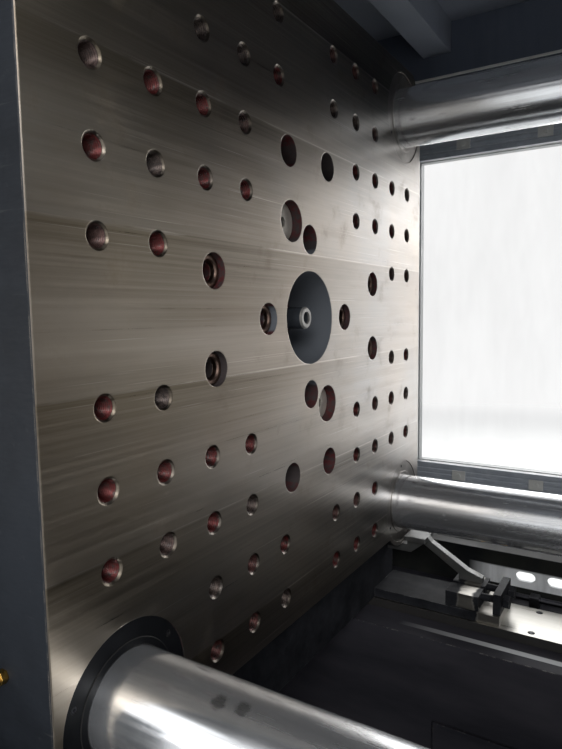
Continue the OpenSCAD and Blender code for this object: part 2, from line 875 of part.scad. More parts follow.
// Seat with two bars, an upright at the shoe's tip and the two screws between them
module wedge_blocks() {
    seat_mid = (screw_ys[0] + screw_ys[1]) / 2;
    reach = shoe_x1 - seat_x1;
    color("lightgray") both_sides() {
        difference() {
            block(seat_x0, seat_x1, shoe_y0 + 4, shoe_y1 - 2, shoe_z1, shoe_z1 + seat_h);
            block(seat_x0 - eps, seat_x1 + eps, seat_mid - seat_gap_w / 2,
                seat_mid + seat_gap_w / 2, shoe_z1 + seat_floor, shoe_z1 + seat_h + eps);
        }
        difference() {
            block(shoe_x1 - stop_t, shoe_x1, shoe_y0 + 6, shoe_y1 - 6, shoe_z1,
                shoe_z1 + 34);
            for (y = screw_ys) translate([shoe_x1, y, shoe_z1 + screw_up])
                rotate([0, 90, 0])
                    cylinder(d = wedge_screw_d + 0.2, h = 4 * stop_t, center = true, $fn = 32);
        }
        for (y = screw_ys) translate([seat_x1, y, shoe_z1 + screw_up]) {
            rotate([0, 90, 0]) cylinder(d = wedge_screw_d, h = reach + 10, $fn = 32);
            translate([reach + 2, 0, 0]) rotate([0, 90, 0])
                cylinder(d = 22, h = screw_head_l, $fn = 6);
        }
    }
}

nipple_d = 12;
nipple_at = [58, 286];

module grease_nipple() {
    rotate([-90, 0, 0]) {
        cylinder(d = nipple_d, h = 6, $fn = 6);
        cylinder(d = 6, h = 13, $fn = 32);
        translate([0, 0, 12]) cylinder(d1 = 8, d2 = 5, h = 5, $fn = 32);
    }
}

module grease_fittings() {
    color("goldenrod") both_sides() {
        for (s = [-1, 1])
            translate([x_mov - nipple_at[0], platen_w / 2, axis_z + s * nipple_at[1]])
                grease_nipple();
        translate([seat_x0 + 27, shoe_y1 - 2, shoe_z1 + seat_h / 2]) grease_nipple();
    }
}

// Guards

hood_end = -x_end;
louvre_n = 9;
louvre_p = 44;
louvre_h = 14;
louvre_l = 300;
louvre_in = 300;
louvre_down = 560;
louvre_z0 = roof_z - louvre_down;
louvre_half = 260;

// Rows of slots in the hood's sides and in its end
module louvres() {
    for (i = [0 : louvre_n - 1]) {
        z = louvre_z0 + i * louvre_p;
        translate([hood_end + louvre_in, 0, z])
            cube([louvre_l, 3 * guard_y, louvre_h], center = true);
        block(hood_end - eps, hood_end + sheet_t + eps, -louvre_half, louvre_half, z,
            z + louvre_h);
    }
}

module clamp_hood() {
    color("whitesmoke") difference() {
        block(hood_end, gate_x0, -guard_y, guard_y, shelf_z, roof_z);
        block(hood_end + sheet_t, gate_x0 + eps, -guard_y + sheet_t, guard_y - sheet_t,
            shelf_z - eps, roof_z - sheet_t);
        block(hood_end - eps, hood_end + sheet_t + eps, -beam_out_y, beam_out_y,
            shelf_z - eps, beam_top);
        louvres();
    }
}

module gate_frame(x1) {
    difference() {
        block(gate_x0, x1, guard_y - frame_depth, guard_y, shelf_z, roof_z - sheet_t);
        block(open_x0, open_x1, guard_y - frame_depth - eps, guard_y + eps, open_z0,
            open_z1);
        block(open_x1 + jamb_w, x1 - sheet_t, guard_y - frame_depth - eps,
            guard_y - sheet_t, shelf_z + jamb_w, roof_z - 100);
    }
}

module front_gate_frame() {
    color("whitesmoke") mirror([0, 1, 0]) gate_frame(panel_x1);
}

module rear_gate_frame() {
    color("whitesmoke") gate_frame(gate_x1);
}

beam_h = 70;
beam_w = 60;
beam_xs = [gate_x0 + 120, x_mov + 420, gate_x1 - 120];
long_beam_h = 50;
long_beam_y = 180;

module top_cover() {
    top = roof_z - sheet_t;
    reach = guard_y - frame_depth - 1;
    color("dimgray") {
        block(gate_x0, gate_x1, -guard_y, guard_y, top, roof_z);
        for (x = beam_xs) block(x, x + beam_w, -reach, reach, roof_z - beam_h, top);
        both_sides() block(beam_xs[0] + beam_w, beam_xs[2], long_beam_y,
            long_beam_y + beam_w, roof_z - long_beam_h, top);
    }
}

track_t = 12;

module door_tracks() {
    color("gray") both_sides() {
        block(track_x0, gate_x1 - 10, guard_y, guard_y + track_t, track_top - 30,
            track_top);
        block(track_x0, gate_x1 - 10, guard_y, guard_y + track_t, door_z0 - 4,
            door_z0 + 8);
    }
}

hanger_w = 100;
hanger_t = 14;
hook_t = 12;
rebate = 20;
pane_edge = 18;
hanger_xs = [door_x0 + 120, door_x1 - 120 - hanger_w];

// Sliding door drawn closed at the rear, hung from the upper track
module door_leaf() {
    hook_z = track_top + slide_gap;
    difference() {
        union() {
            block(door_x0, door_x1, door_y, door_y + door_t, door_z0, door_z1);
            for (x = hanger_xs) {
                block(x, x + hanger_w, door_y, door_y + hanger_t, door_z1 - eps,
                    hook_z + hook_t);
                block(x, x + hanger_w, guard_y + 2, door_y + hanger_t, hook_z,
                    hook_z + hook_t);
            }
        }
        block(door_x0 + door_rim, door_x1 - door_rim, door_y - eps, door_y + door_t + eps,
            axis_z - window_up, axis_z + window_up);
        block(door_x0 + door_rim - rebate, door_x1 - door_rim + rebate, pane_y,
            pane_y + pane_t + 2 * seat_gap, axis_z - window_up - rebate,
            axis_z + window_up + rebate);
    }
}

module door_pane() {
    y = pane_y + seat_gap;
    block(door_x0 + door_rim - pane_edge, door_x1 - door_rim + pane_edge, y, y + pane_t,
        axis_z - window_up - pane_edge, axis_z + window_up + pane_edge);
}

handle_half = 120;
post_in = 20;
post_d = 18;

module door_handle() {
    x = door_x1 - door_rim / 2;
    translate([x, handle_y, axis_z - handle_half]) cylinder(d = handle_d, h = 2 * handle_half);
    for (s = [-1, 1])
        translate([x, door_y + door_t, axis_z + s * (handle_half - post_in)])
            rotate([-90, 0, 0]) cylinder(d = post_d, h = handle_reach);
}

module front_place() {
    translate([-door_travel, 0, 0]) mirror([0, 1, 0]) children();
}

module front_door() color("whitesmoke") front_place() door_leaf();
module front_door_window() color("lightcyan", 0.4) front_place() door_pane();
module front_door_handle() color("dimgray") front_place() door_handle();
module rear_door() color("whitesmoke") door_leaf();
module rear_door_window() color("lightcyan", 0.4) door_pane();
module rear_door_handle() color("dimgray") door_handle();

rail_t = 9;
groove_w = 5;
groove_depth = 3;
rail_x0 = door_x0 + door_rim - 10;
rail_x1 = door_x1 - door_rim + 10;

// Grooved rails along the window's upper and lower edges, on the door's inner face
module rear_window_rails() {
    groove_p = window_rail_h / 4;
    color("darkslategray") for (s = [-1, 1]) difference() {
        z = axis_z + s * (window_up + window_rail_h / 2);
        block(rail_x0, rail_x1, door_y - rail_t, door_y, z - window_rail_h / 2,
            z + window_rail_h / 2);
        for (g = [-1, 0, 1]) block(rail_x0 - eps, rail_x1 + eps, door_y - rail_t - eps,
            door_y - rail_t + groove_depth, z + g * groove_p - groove_w / 2,
            z + g * groove_p + groove_w / 2);
    }
}

clip_w = 30;
clip_h = 22;
clip_t = 4;
clip_x0 = x_mov - 4;

module rear_window_clips() {
    color("silver") for (s = [-1, 1], x = [clip_x0 : clip_p : rail_x1 - clip_w])
        translate([x, door_y - rail_t, axis_z + s * (window_up + window_rail_h / 2)]) {
            translate([-clip_w / 2, -clip_t, -clip_h / 2]) cube([clip_w, clip_t, clip_h]);
            translate([0, -clip_t, 0]) rotate([90, 0, 0]) cylinder(d = 10, h = 4, $fn = 32);
        }
}

// Control panel on the operator's side of the stationary platen

panel_x0 = door_x1 + 30;
panel_y = guard_y + 54;
desk_y = guard_y + 89;
panel_z0 = axis_z + 10;
panel_h = 470;
desk_h = 180;
desk_z = panel_z0 + desk_h;
panel_z1 = panel_z0 + panel_h;
panel_bevel = 20;
screen_t = 3;
screen_in = 30;

module screen_block(gap, y0, y1) {
    block(panel_x0 + screen_in - gap, panel_x1 - 20 - screen_in + gap, y0, y1,
        desk_z + 60 - gap, panel_z1 - screen_in + gap);
}

module control_panel() {
    color("gainsboro") difference() {
        translate([panel_x0, 0, 0]) rotate([90, 0, 90])
            linear_extrude(panel_x1 - panel_x0 - 20)
                polygon([[-guard_y, panel_z0], [-desk_y + panel_bevel, panel_z0],
                    [-desk_y, panel_z0 + panel_bevel], [-desk_y, desk_z],
                    [-panel_y, desk_z + 30], [-panel_y, panel_z1], [-guard_y, panel_z1]]);
        screen_block(seat_gap, -panel_y - eps, -panel_y + screen_t + 1);
        translate([stop_x, -desk_y - eps, stop_z]) rotate([-90, 0, 0])
            cylinder(d = stop_stem_d + 2 * slide_gap, h = 40);
    }
}

module display_screen() {
    color("black") screen_block(0, -panel_y + 1, -panel_y + screen_t + 1);
}

stop_x = panel_x1 - 80;
stop_z = panel_z0 + 100;
stop_d = 40;
stop_stem_d = 20;
stop_stem_l = 21;
stop_travel = 6;

module emergency_stop() {
    face = -desk_y - 1 - stop_travel;
    color("red") translate([stop_x, face, stop_z]) rotate([90, 0, 0]) {
        cylinder(d = stop_d, h = 6);
        translate([0, 0, 6]) cylinder(d1 = stop_d, d2 = stop_d - 12, h = 4);
        translate([0, 0, -stop_travel - stop_stem_l])
            cylinder(d = stop_stem_d, h = stop_travel + stop_stem_l);
    }
}

// Injection base and carriage

bay_n = 3;
bay_w = (x_end - x_split - 100) / bay_n;
vent_n = 7;
vent_p = 40;
vent_h = 14;
trough_half = 190;
trough_depth = 90;

module injection_base() {
    color("slategray") difference() {
        block(x_split, x_end, -deck_y, deck_y, foot_h, deck_z);
        both_sides() for (i = [0 : bay_n - 1])
            panel_seam(x_split + 70 + i * bay_w, x_split + 30 + (i + 1) * bay_w, deck_y,
                foot_h + 70, deck_z - 60);
        both_sides() for (i = [0 : vent_n - 1])
            block(x_end - bay_w + 40, x_end - 150, deck_y - 26, deck_y + eps,
                foot_h + 130 + i * vent_p, foot_h + 130 + i * vent_p + vent_h);
        block(x_split + 160, x_end - 160, -trough_half, trough_half, deck_z - trough_depth,
            deck_z + eps);
    }
}

module carriage_rails() {
    color("gainsboro") both_sides() {
        block(x_split + 60, x_end - 80, rail_y - rail_w / 2, rail_y + rail_w / 2, deck_z,
            rail_top);
    }
}

saddle_half = rail_y + 45;
saddle_lap = 25;
saddle_arch = 180;
saddle_toe = 30;

// Bridge over the two rails, with shoes that reach round them
module saddle(x0, x1, top) {
    inner = rail_y - rail_w / 2;
    outer = rail_y + rail_w / 2;
    difference() {
        union() {
            block(x0, x1, -saddle_half, saddle_half, rail_top + 60, top);
            both_sides() block(x0 - saddle_toe, x1 + saddle_toe, inner - saddle_lap,
                outer + saddle_lap, rail_top - 45, rail_top + 70);
        }
        both_sides() block(x0 - saddle_toe - eps, x1 + saddle_toe + eps,
            inner - slide_gap, outer + slide_gap, rail_top - 46, rail_top + slide_gap);
        block(x0 - eps, x1 + eps, -saddle_arch, saddle_arch, rail_top + 59,
            rail_top + 130);
    }
}

module carriage_housing() {
    color("slategray") difference() {
        union() {
            saddle(x_hub, x_hub_back, axis_z + hub_up - 40);
            block(x_hub, x_hub_back, -hub_half, hub_half, axis_z - hub_up, axis_z + hub_up);
            translate([x_throat, 0, axis_z + hub_up - eps]) cylinder(d = neck_d, h = neck_h + eps);
        }
        bar(x_hub - eps, x_hub_back + eps, barrel_d + 2 * seat_gap);
        translate([x_throat, 0, axis_z]) cylinder(d = throat_d, h = hub_up + neck_h + eps);
        block(x_throat - throat_d / 2 - 10, x_throat + neck_d, -gate_w / 2 - slide_gap,
            gate_w / 2 + slide_gap, gate_z - slide_gap, gate_z + gate_t + slide_gap);
    }
}

gate_w = 90;
gate_t = 8;
gate_l = 165;
gate_z = axis_z + hub_up + 20;
gate_x = x_throat + throat_d / 2 + 2;
gate_travel = throat_d + 6;
knob_d = 16;
knob_h = 40;

// Plate that slides across the throat, drawn open
module feed_gate() {
    color("silver") {
        block(gate_x, gate_x + gate_l, -gate_w / 2, gate_w / 2, gate_z, gate_z + gate_t);
        translate([gate_x + gate_l - knob_d, 0, gate_z]) cylinder(d = knob_d, h = knob_h);
    }
}

barrel_step = 15;

module barrel() {
    r = barrel_d / 2;
    bore = screw_d / 2;
    x1 = x_barrel + barrel_l;
    color("dimgray") difference() {
        turned([[bore, x_barrel], [r - barrel_step, x_barrel],
            [r - barrel_step, x_barrel + 40], [r, x_barrel + 40 + barrel_step], [r, x1],
            [bore, x1]]);
        translate([x_throat, 0, axis_z]) cylinder(d = throat_d - 10, h = barrel_d);
    }
}

nozzle_d = 38;

module nozzle() {
    head = barrel_d / 2 - barrel_step;
    x0 = x_barrel - head_l;
    orifice = 4;
    slim = nozzle_d / 2;
    x_hex = x_tip + nozzle_l / 2;
    x_cone = x_barrel - 45;
    color("darkgray") turned([[orifice, x_tip], [slim - 7, x_tip], [slim, x_tip + 8],
        [slim, x_hex], [slim + 8, x_hex], [slim + 8, x0 - 20], [slim + 21, x0],
        [head, x0 + 20], [head, x_barrel], [screw_d / 2, x_barrel],
        [orifice + 2, x_cone], [orifice, x_cone]]);
}

band_x0 = x_barrel + 70;
band_gap = 18;
terminal_l = 50;
terminal_w = 44;
terminal_h = 10;
band_l = (x_hub - 60 - band_x0) / band_n - band_gap;

module heater_bands() {
    color("silver") for (i = [0 : band_n - 1]) {
        x = band_x0 + i * (band_l + band_gap);
        difference() {
            union() {
                bar(x, x + band_l, band_d);
                block(x + band_l / 2 - terminal_l / 2, x + band_l / 2 + terminal_l / 2,
                    -terminal_w / 2, terminal_w / 2, axis_z - band_d / 2 - terminal_h,
                    axis_z - barrel_d / 2 - 4);
            }
            bar(x - eps, x + band_l + eps, barrel_d + 2 * seat_gap);
            block(x - eps, x + band_l + eps, -2, 2, axis_z + barrel_d / 2 - 4,
                axis_z + band_d);
        }
    }
}

cover_half = 125;
cover_up = 120;
cover_down = 95;
cover_t = 3;
cover_cut = 45;
cover_slot_l = 70;
cover_slot_w = 10;
cover_slots = 8;

module cover_outline(inset) {
    y = cover_half - inset;
    z = cover_up - inset;
    cut = cover_cut - 0.6 * inset;
    low = -cover_down - (inset > 0 ? eps : 0);
    polygon([[-y, low], [y, low], [y, z - cut], [y - cut, z], [-y + cut, z], [-y, z - cut]]);
}

// Folded cover over the heater bands, open below, with slots on top and sides
module barrel_cover() {
    x0 = band_x0 - 20;
    pitch = (x_hub - x0) / cover_slots;
    color("gainsboro") difference() {
        yz_slab(x0, x_hub) difference() {
            cover_outline(0);
            cover_outline(cover_t);
        }
        for (i = [0 : cover_slots - 1]) {
            x = x0 + (i + 0.5) * pitch;
            for (y = [-50, 0, 50])
                block(x - cover_slot_l / 2, x + cover_slot_l / 2, y - cover_slot_w / 2,
                    y + cover_slot_w / 2, axis_z + cover_up - 2 * cover_t,
                    axis_z + cover_up + eps);
            for (z = [-45, -5, 35])
                block(x - cover_slot_l / 2, x + cover_slot_l / 2, -cover_half - eps,
                    cover_half + eps, axis_z + z - cover_slot_w / 2,
                    axis_z + z + cover_slot_w / 2);
        }
    }
}

hopper_h = 330;
cone_h = 250;
hopper_z = throat_top;
hopper_t = 4;
flange_h = 14;
neck_up = 24;
rim_z = hopper_z + neck_up + cone_h + hopper_h;
lid_z = rim_z + slide_gap;
lid_t = 3;
lid_pin_d = 8;
ear_y0 = 9;
ear_y1 = 16;
lid_axis_x = x_throat + hopper_d / 2 + 12;
lid_axis_z = lid_z + 1.5;

module hopper_ear() {
    ear_d = 14;
    translate([lid_axis_x, ear_y0, lid_axis_z]) rotate([-90, 0, 0]) difference() {
        union() {
            cylinder(d = ear_d, h = ear_y1 - ear_y0);
            translate([-ear_d / 2, 0, 0]) cube([ear_d, 20, ear_y1 - ear_y0]);
        }
        translate([0, 0, -eps])
            cylinder(d = lid_pin_d + 2 * run_gap, h = ear_y1 - ear_y0 + 2 * eps);
    }
}

module hopper() {
    r = hopper_d / 2;
    neck = throat_d / 2;
    t = hopper_t;
    color("lightgray") {
        translate([x_throat, 0, hopper_z]) rotate_extrude()
            polygon([[neck, 0], [neck_d / 2, 0], [neck_d / 2, flange_h],
                [neck + t + 2, flange_h], [neck + t + 2, neck_up], [r, neck_up + cone_h],
                [r, neck_up + cone_h + hopper_h], [r - t, neck_up + cone_h + hopper_h],
                [r - t, neck_up + cone_h + 1], [neck, neck_up]]);
        both_sides() hopper_ear();
        block(x_throat + r - t / 2, lid_axis_x + 7, -ear_y1, ear_y1, lid_axis_z - 34,
            lid_axis_z - 12);
    }
}

module hopper_lid() {
    r = hopper_d / 2;
    rise = 26;
    color("lightgray") {
        translate([x_throat, 0, 0]) {
            translate([0, 0, lid_z]) cylinder(d = hopper_d + 6, h = lid_t);
            translate([0, 0, lid_z + lid_t]) cylinder(d1 = hopper_d - 20, d2 = 120, h = rise);
            translate([-r + 60, 0, lid_z + lid_t + 9]) rotate([90, 0, 0])
                cylinder(d = 14, h = 110, center = true, $fn = 32);
        }
        translate([lid_axis_x, 0, lid_axis_z]) rotate([90, 0, 0])
            cylinder(d = lid_pin_d, h = 2 * ear_y1, center = true);
        block(x_throat + r, lid_axis_x, -ear_y0 + 1, ear_y0 - 1, lid_z, lid_z + lid_t);
    }
}

module injection_cylinders() {
    r = shot_cylinder_d / 2;
    bore = shot_rod_d / 2 + 15;
    seal = shot_rod_d / 2 + run_gap;
    x1 = x_hub_back + shot_cylinder_l;
    color("steelblue") for (s = [-1, 1])
        turned([[0, x_hub_back], [r, x_hub_back], [r, x1 - 50], [r + 10, x1 - 50],
            [r + 10, x1], [seal, x1], [seal, x1 - 60], [bore, x1 - 60],
            [bore, x_hub_back + 30], [0, x_hub_back + 30]], s * shot_y, 0);
}

module injection_rods() {
    r = shot_rod_d / 2;
    piston = shot_rod_d / 2 + 15 - run_gap;
    x0 = x_hub_back + 40;
    color("whitesmoke") for (s = [-1, 1])
        turned([[0, x0], [piston, x0], [piston, x0 + 50], [r, x0 + 50], [r, x_cross],
            [0, x_cross]], s * shot_y, 0);
}

carriage_rod_d = 40;
carriage_cyl_d = 78;
carriage_bore = 56;
carriage_piston_l = 30;
carriage_end_t = 40;
carriage_cap_t = 20;
x_carriage_piston = x_hub - carriage_cap_t - carriage_in - 10;
x_carriage_cyl = x_carriage_piston - carriage_piston_l - carriage_back - 10 - carriage_end_t;

module carriage_rods() {
    r = carriage_rod_d / 2;
    foot = r + 22;
    foot_t = 24;
    piston = carriage_bore / 2 - run_gap;
    x1 = x_carriage_piston;
    x0 = x1 - carriage_piston_l;
    color("whitesmoke") for (s = [-1, 1])
        turned([[0, x_fix_back], [foot, x_fix_back], [foot, x_fix_back + foot_t],
            [r, x_fix_back + foot_t], [r, x0], [piston, x0], [piston, x1], [0, x1]],
            s * carriage_y, -carriage_drop);
}

module carriage_cylinders() {
    r = carriage_cyl_d / 2;
    bore = carriage_bore / 2;
    seal = carriage_rod_d / 2 + run_gap;
    color("steelblue") for (s = [-1, 1])
        turned([[seal, x_carriage_cyl], [r, x_carriage_cyl], [r, x_hub], [0, x_hub],
            [0, x_hub - carriage_cap_t], [bore, x_hub - carriage_cap_t],
            [bore, x_carriage_cyl + carriage_end_t],
            [seal, x_carriage_cyl + carriage_end_t]], s * carriage_y, -carriage_drop);
}

drive_d = 70;
cross_up = 110;
cross_d = 300;

module crossbeam() {
    color("slategray") difference() {
        union() {
            saddle(x_cross, x_cross + cross_t, axis_z + cross_up);
            bar(x_cross, x_cross + cross_t, cross_d);
        }
        bar(x_cross - eps, x_cross + cross_t + eps, drive_d + 2 * run_gap);
    }
}

motor_d = 250;
motor_l = 240;

module screw_motor() {
    r = motor_d / 2;
    x0 = x_cross + cross_t;
    x1 = x0 + motor_l;
    color("steelblue") {
        turned([[drive_d / 2 + 4, x0], [r - 20, x0], [r - 20, x0 + 30], [r, x0 + 40],
            [r, x1 - 90], [r - 25, x1 - 70], [r - 25, x1], [0, x1], [0, x1 - 90],
            [drive_d / 2 + 4, x1 - 90]]);
        block(x1 - 150, x1 - 90, -60, 60, axis_z + r - 30, axis_z + r + 50);
    }
}

// Screw: a root with one helical flight, a shank and a tip
x_flight = x_barrel + 30;
flight_turns = floor((x_throat + throat_d / 2 - x_flight) / flight_p);
flight_sides = 20;
flight_w = 7;
root_d = 42;

function flight_ring(i) = let (a = 360 * i / flight_sides,
    x = x_flight + flight_p * i / flight_sides, ri = root_d / 2 - 2,
    ro = screw_d / 2 - 0.15)
    [for (p = [[ri, -flight_w / 2], [ro, -flight_w / 2], [ro, flight_w / 2],
        [ri, flight_w / 2]]) [x + p[1], p[0] * cos(a), p[0] * sin(a)]];

module screw_flight() {
    n = flight_turns * flight_sides;
    points = [for (i = [0 : n]) each flight_ring(i)];
    sides = [for (i = [0 : n - 1], k = [0 : 3]) let (a = 4 * i + k,
        b = 4 * i + (k + 1) % 4) each [[a, b, b + 4], [a, b + 4, a + 4]]];
    ends = [[3, 2, 1, 0], [4 * n, 4 * n + 1, 4 * n + 2, 4 * n + 3]];
    translate([0, 0, axis_z]) polyhedron(points, concat(sides, ends));
}

module screw() {
    shank = screw_d / 2 - 0.4;
    x_shank = x_flight + flight_turns * flight_p + 12;
    x1 = x_cross + cross_t + 120;
    color("lightgray") {
        turned([[0, x_barrel - 20], [8, x_barrel - 12], [root_d / 2, x_barrel + 14],
            [root_d / 2, x_shank], [shank, x_shank + 4], [shank, x_cross - 20],
            [drive_d / 2, x_cross - 20], [drive_d / 2, x1], [0, x1]]);
        screw_flight();
    }
}

// Guard over the nozzle, hinged to the back of the stationary platen
purge_half = 193;
purge_l = 340;
purge_down = 110;
purge_t = 3;
purge_up = guard_pin_z - axis_z - guard_pin_d / 2 + 1;

module purge_guard() {
    x0 = x_fix_back + 3;
    slots = 5;
    pitch = purge_l / (slots + 1);
    color("gainsboro") {
        difference() {
            block(x0, x0 + purge_l, -purge_half, purge_half, axis_z - purge_down,
                axis_z + purge_up);
            block(x0 - eps, x0 + purge_l + eps, -purge_half + purge_t, purge_half - purge_t,
                axis_z - purge_down - eps, axis_z + purge_up - purge_t);
            for (i = [1 : slots]) block(x0 + i * pitch, x0 + i * pitch + 12,
                -purge_half - eps, purge_half + eps, axis_z - 60, axis_z + 60);
        }
        translate([guard_pin_x, 0, guard_pin_z]) rotate([90, 0, 0])
            cylinder(d = guard_pin_d, h = 2 * (purge_half + 1 + lug_t), center = true);
    }
}

levelling_feet();
clamp_base();
slide_ways();
splash_plates();
grease_pipes();
product_chute();
stationary_platen();
cylinder_platen();
tie_bars();
tie_bar_nuts();
main_cylinder();
traverse_cylinders();
clamp_hood();
front_gate_frame();
rear_gate_frame();
top_cover();
door_tracks();
injection_base();
carriage_rails();
carriage_rods();
control_panel();
display_screen();
moving_platen();
platen_bushes();
wiper_rings();
ejector_housing();
clamp_ram();
traverse_rods();
platen_skates();
skate_braces();
wedge_blocks();
grease_fittings();
ejector_guide_rods();
ejector_cylinders();
ejector_plate();
ejector_rods();
front_door();
front_door_window();
front_door_handle();
rear_door();
rear_door_window();
rear_window_rails();
rear_window_clips();
rear_door_handle();
carriage_housing();
barrel();
nozzle();
heater_bands();
barrel_cover();
hopper();
injection_cylinders();
carriage_cylinders();
crossbeam();
injection_rods();
screw_motor();
screw();
hopper_lid();
feed_gate();
purge_guard();
emergency_stop();
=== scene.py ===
"""Looks of the injection moulding machine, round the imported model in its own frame."""
from itertools import product
from math import cos, hypot, pi, radians, sin

import bmesh
import bpy
from mathutils import Matrix, Vector


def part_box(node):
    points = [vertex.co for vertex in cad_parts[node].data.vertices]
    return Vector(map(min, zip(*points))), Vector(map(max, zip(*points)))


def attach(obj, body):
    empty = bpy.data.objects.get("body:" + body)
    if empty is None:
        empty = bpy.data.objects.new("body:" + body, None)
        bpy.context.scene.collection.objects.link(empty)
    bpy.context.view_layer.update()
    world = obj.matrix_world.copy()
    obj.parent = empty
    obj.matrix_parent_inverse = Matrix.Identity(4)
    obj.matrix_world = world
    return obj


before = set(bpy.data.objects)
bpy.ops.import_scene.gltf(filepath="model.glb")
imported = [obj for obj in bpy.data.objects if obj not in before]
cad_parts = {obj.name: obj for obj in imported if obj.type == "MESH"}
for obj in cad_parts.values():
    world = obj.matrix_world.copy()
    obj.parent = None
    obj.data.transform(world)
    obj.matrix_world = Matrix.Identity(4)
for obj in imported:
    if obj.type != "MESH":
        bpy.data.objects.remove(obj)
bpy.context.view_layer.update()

# Camera: the photographer stood in the open front doorway

IMAGE_H = 749  # pixels
FOCAL_PX = 609.6746
SENSOR = 36  # mm
EYE = (-0.60262, -0.69574, 1.23482)
RIGHT = (0.849072, 0.528085, -0.014232)
DOWN = (0.039655, -0.090576, -0.9951)
FORWARD = (-0.526787, 0.844347, -0.097847)

scene = bpy.context.scene


def show(name, data):
    """A new object in the scene."""
    made = bpy.data.objects.new(name, data)
    scene.collection.objects.link(made)
    return made


def make_camera():
    """The photographer's view."""
    data = bpy.data.cameras.new("camera")
    data.sensor_width = SENSOR
    data.lens = SENSOR * FOCAL_PX / IMAGE_H
    data.clip_start = 0.01
    data.clip_end = 200
    camera = show("camera", data)
    axes = Matrix([RIGHT, [-v for v in DOWN], [-v for v in FORWARD]]).transposed()
    camera.matrix_world = Matrix.Translation(EYE) @ axes.to_4x4()
    scene.camera = camera


make_camera()

# Places of the solids, in metres

AXIS_Z = 1.23  # the clamp and injection axis
X_MOV = -0.99  # the moving platen's face
X_FIX = 0.06  # the stationary platen's face
PLATEN_Y = 0.416
PLATEN_UP = 0.421
PLATEN_DOWN = 0.392
PLATEN_DEEP = 0.11
PASS_TOP = 0.361  # top of the milling cutter's passes, above the axis
PASS_H = 0.1398
GRID = 0.07
TIE = 0.335
RING_SCREW_R = 0.0645
OPENING_X = (-1.13, 0.04)
OPENING_Z = (0.63, 1.74)
X_THROAT = 1.505
HOPPER_R = 0.28
SHOT_Y = 0.19  # the injection cylinders
PULL_Y = 0.15  # the carriage cylinders
PULL_DROP = 0.17
RAIL_Y = 0.25
PIPE_Y = 0.405
BEAM_TOP = 0.714
BEAM_LINE_Y = 0.2435  # the light line along the inner edges of the base's beams: worn paint and a painted highlight
PLATE_FOOT = 0.7257  # the splash plates are black below this and above their fold
PLATE_FOLD = 0.759

# Node trees


def srgb(r, g, b):
    """A colour from 0 to 255 a channel, as the linear values that the sockets hold."""
    def one(v):
        v /= 255
        return v / 12.92 if v <= 0.04045 else ((v + 0.055) / 1.055) ** 2.4
    return (one(r), one(g), one(b), 1.0)


def shade(colour, factor):
    """The linear colour that is factor times as bright."""
    return tuple(min(1.0, v * factor) for v in srgb(*colour)[:3]) + (1.0,)


class Nodes:
    """Adds nodes to a tree with short calls. A colour is three numbers from 0 to 255, or
    four linear ones."""

    def __init__(self, tree):
        self.tree = tree
        tree.nodes.clear()

    def add(self, kind, inputs=None, **settings):
        node = self.tree.nodes.new("ShaderNode" + kind)
        for key, value in settings.items():
            setattr(node, key, value)
        for key, value in (inputs or {}).items():
            self.give(node.inputs[key], value)
        return node

    def give(self, socket, value):
        if isinstance(value, bpy.types.NodeSocket):
            self.tree.links.new(value, socket)
        elif socket.type == "RGBA" and len(value) == 3:
            socket.default_value = srgb(*value)
        else:
            socket.default_value = value

    def math(self, kind, first, *others):
        """One operation, carried on over all the values. Kinds that take a single value
        get a 0 after it."""
        for other in others:
            first = self.add("Math", {0: first, 1: other}, operation=kind).outputs[0]
        return first

    def plus(self, *values):
        return self.math("ADD", *values)

    def minus(self, a, b):
        return self.math("SUBTRACT", a, b)

    def times(self, *values):
        return self.math("MULTIPLY", *values)

    def either(self, *values):
        return self.math("MAXIMUM", *values)

    def abs(self, value):
        return self.math("ABSOLUTE", value, 0.0)

    def seen(self):
        """1 where the camera sees the surface, also through glass or in a reflection."""
        path = self.add("LightPath").outputs
        return self.either(path["Is Camera Ray"], path["Is Glossy Ray"],
                           path["Is Transmission Ray"])


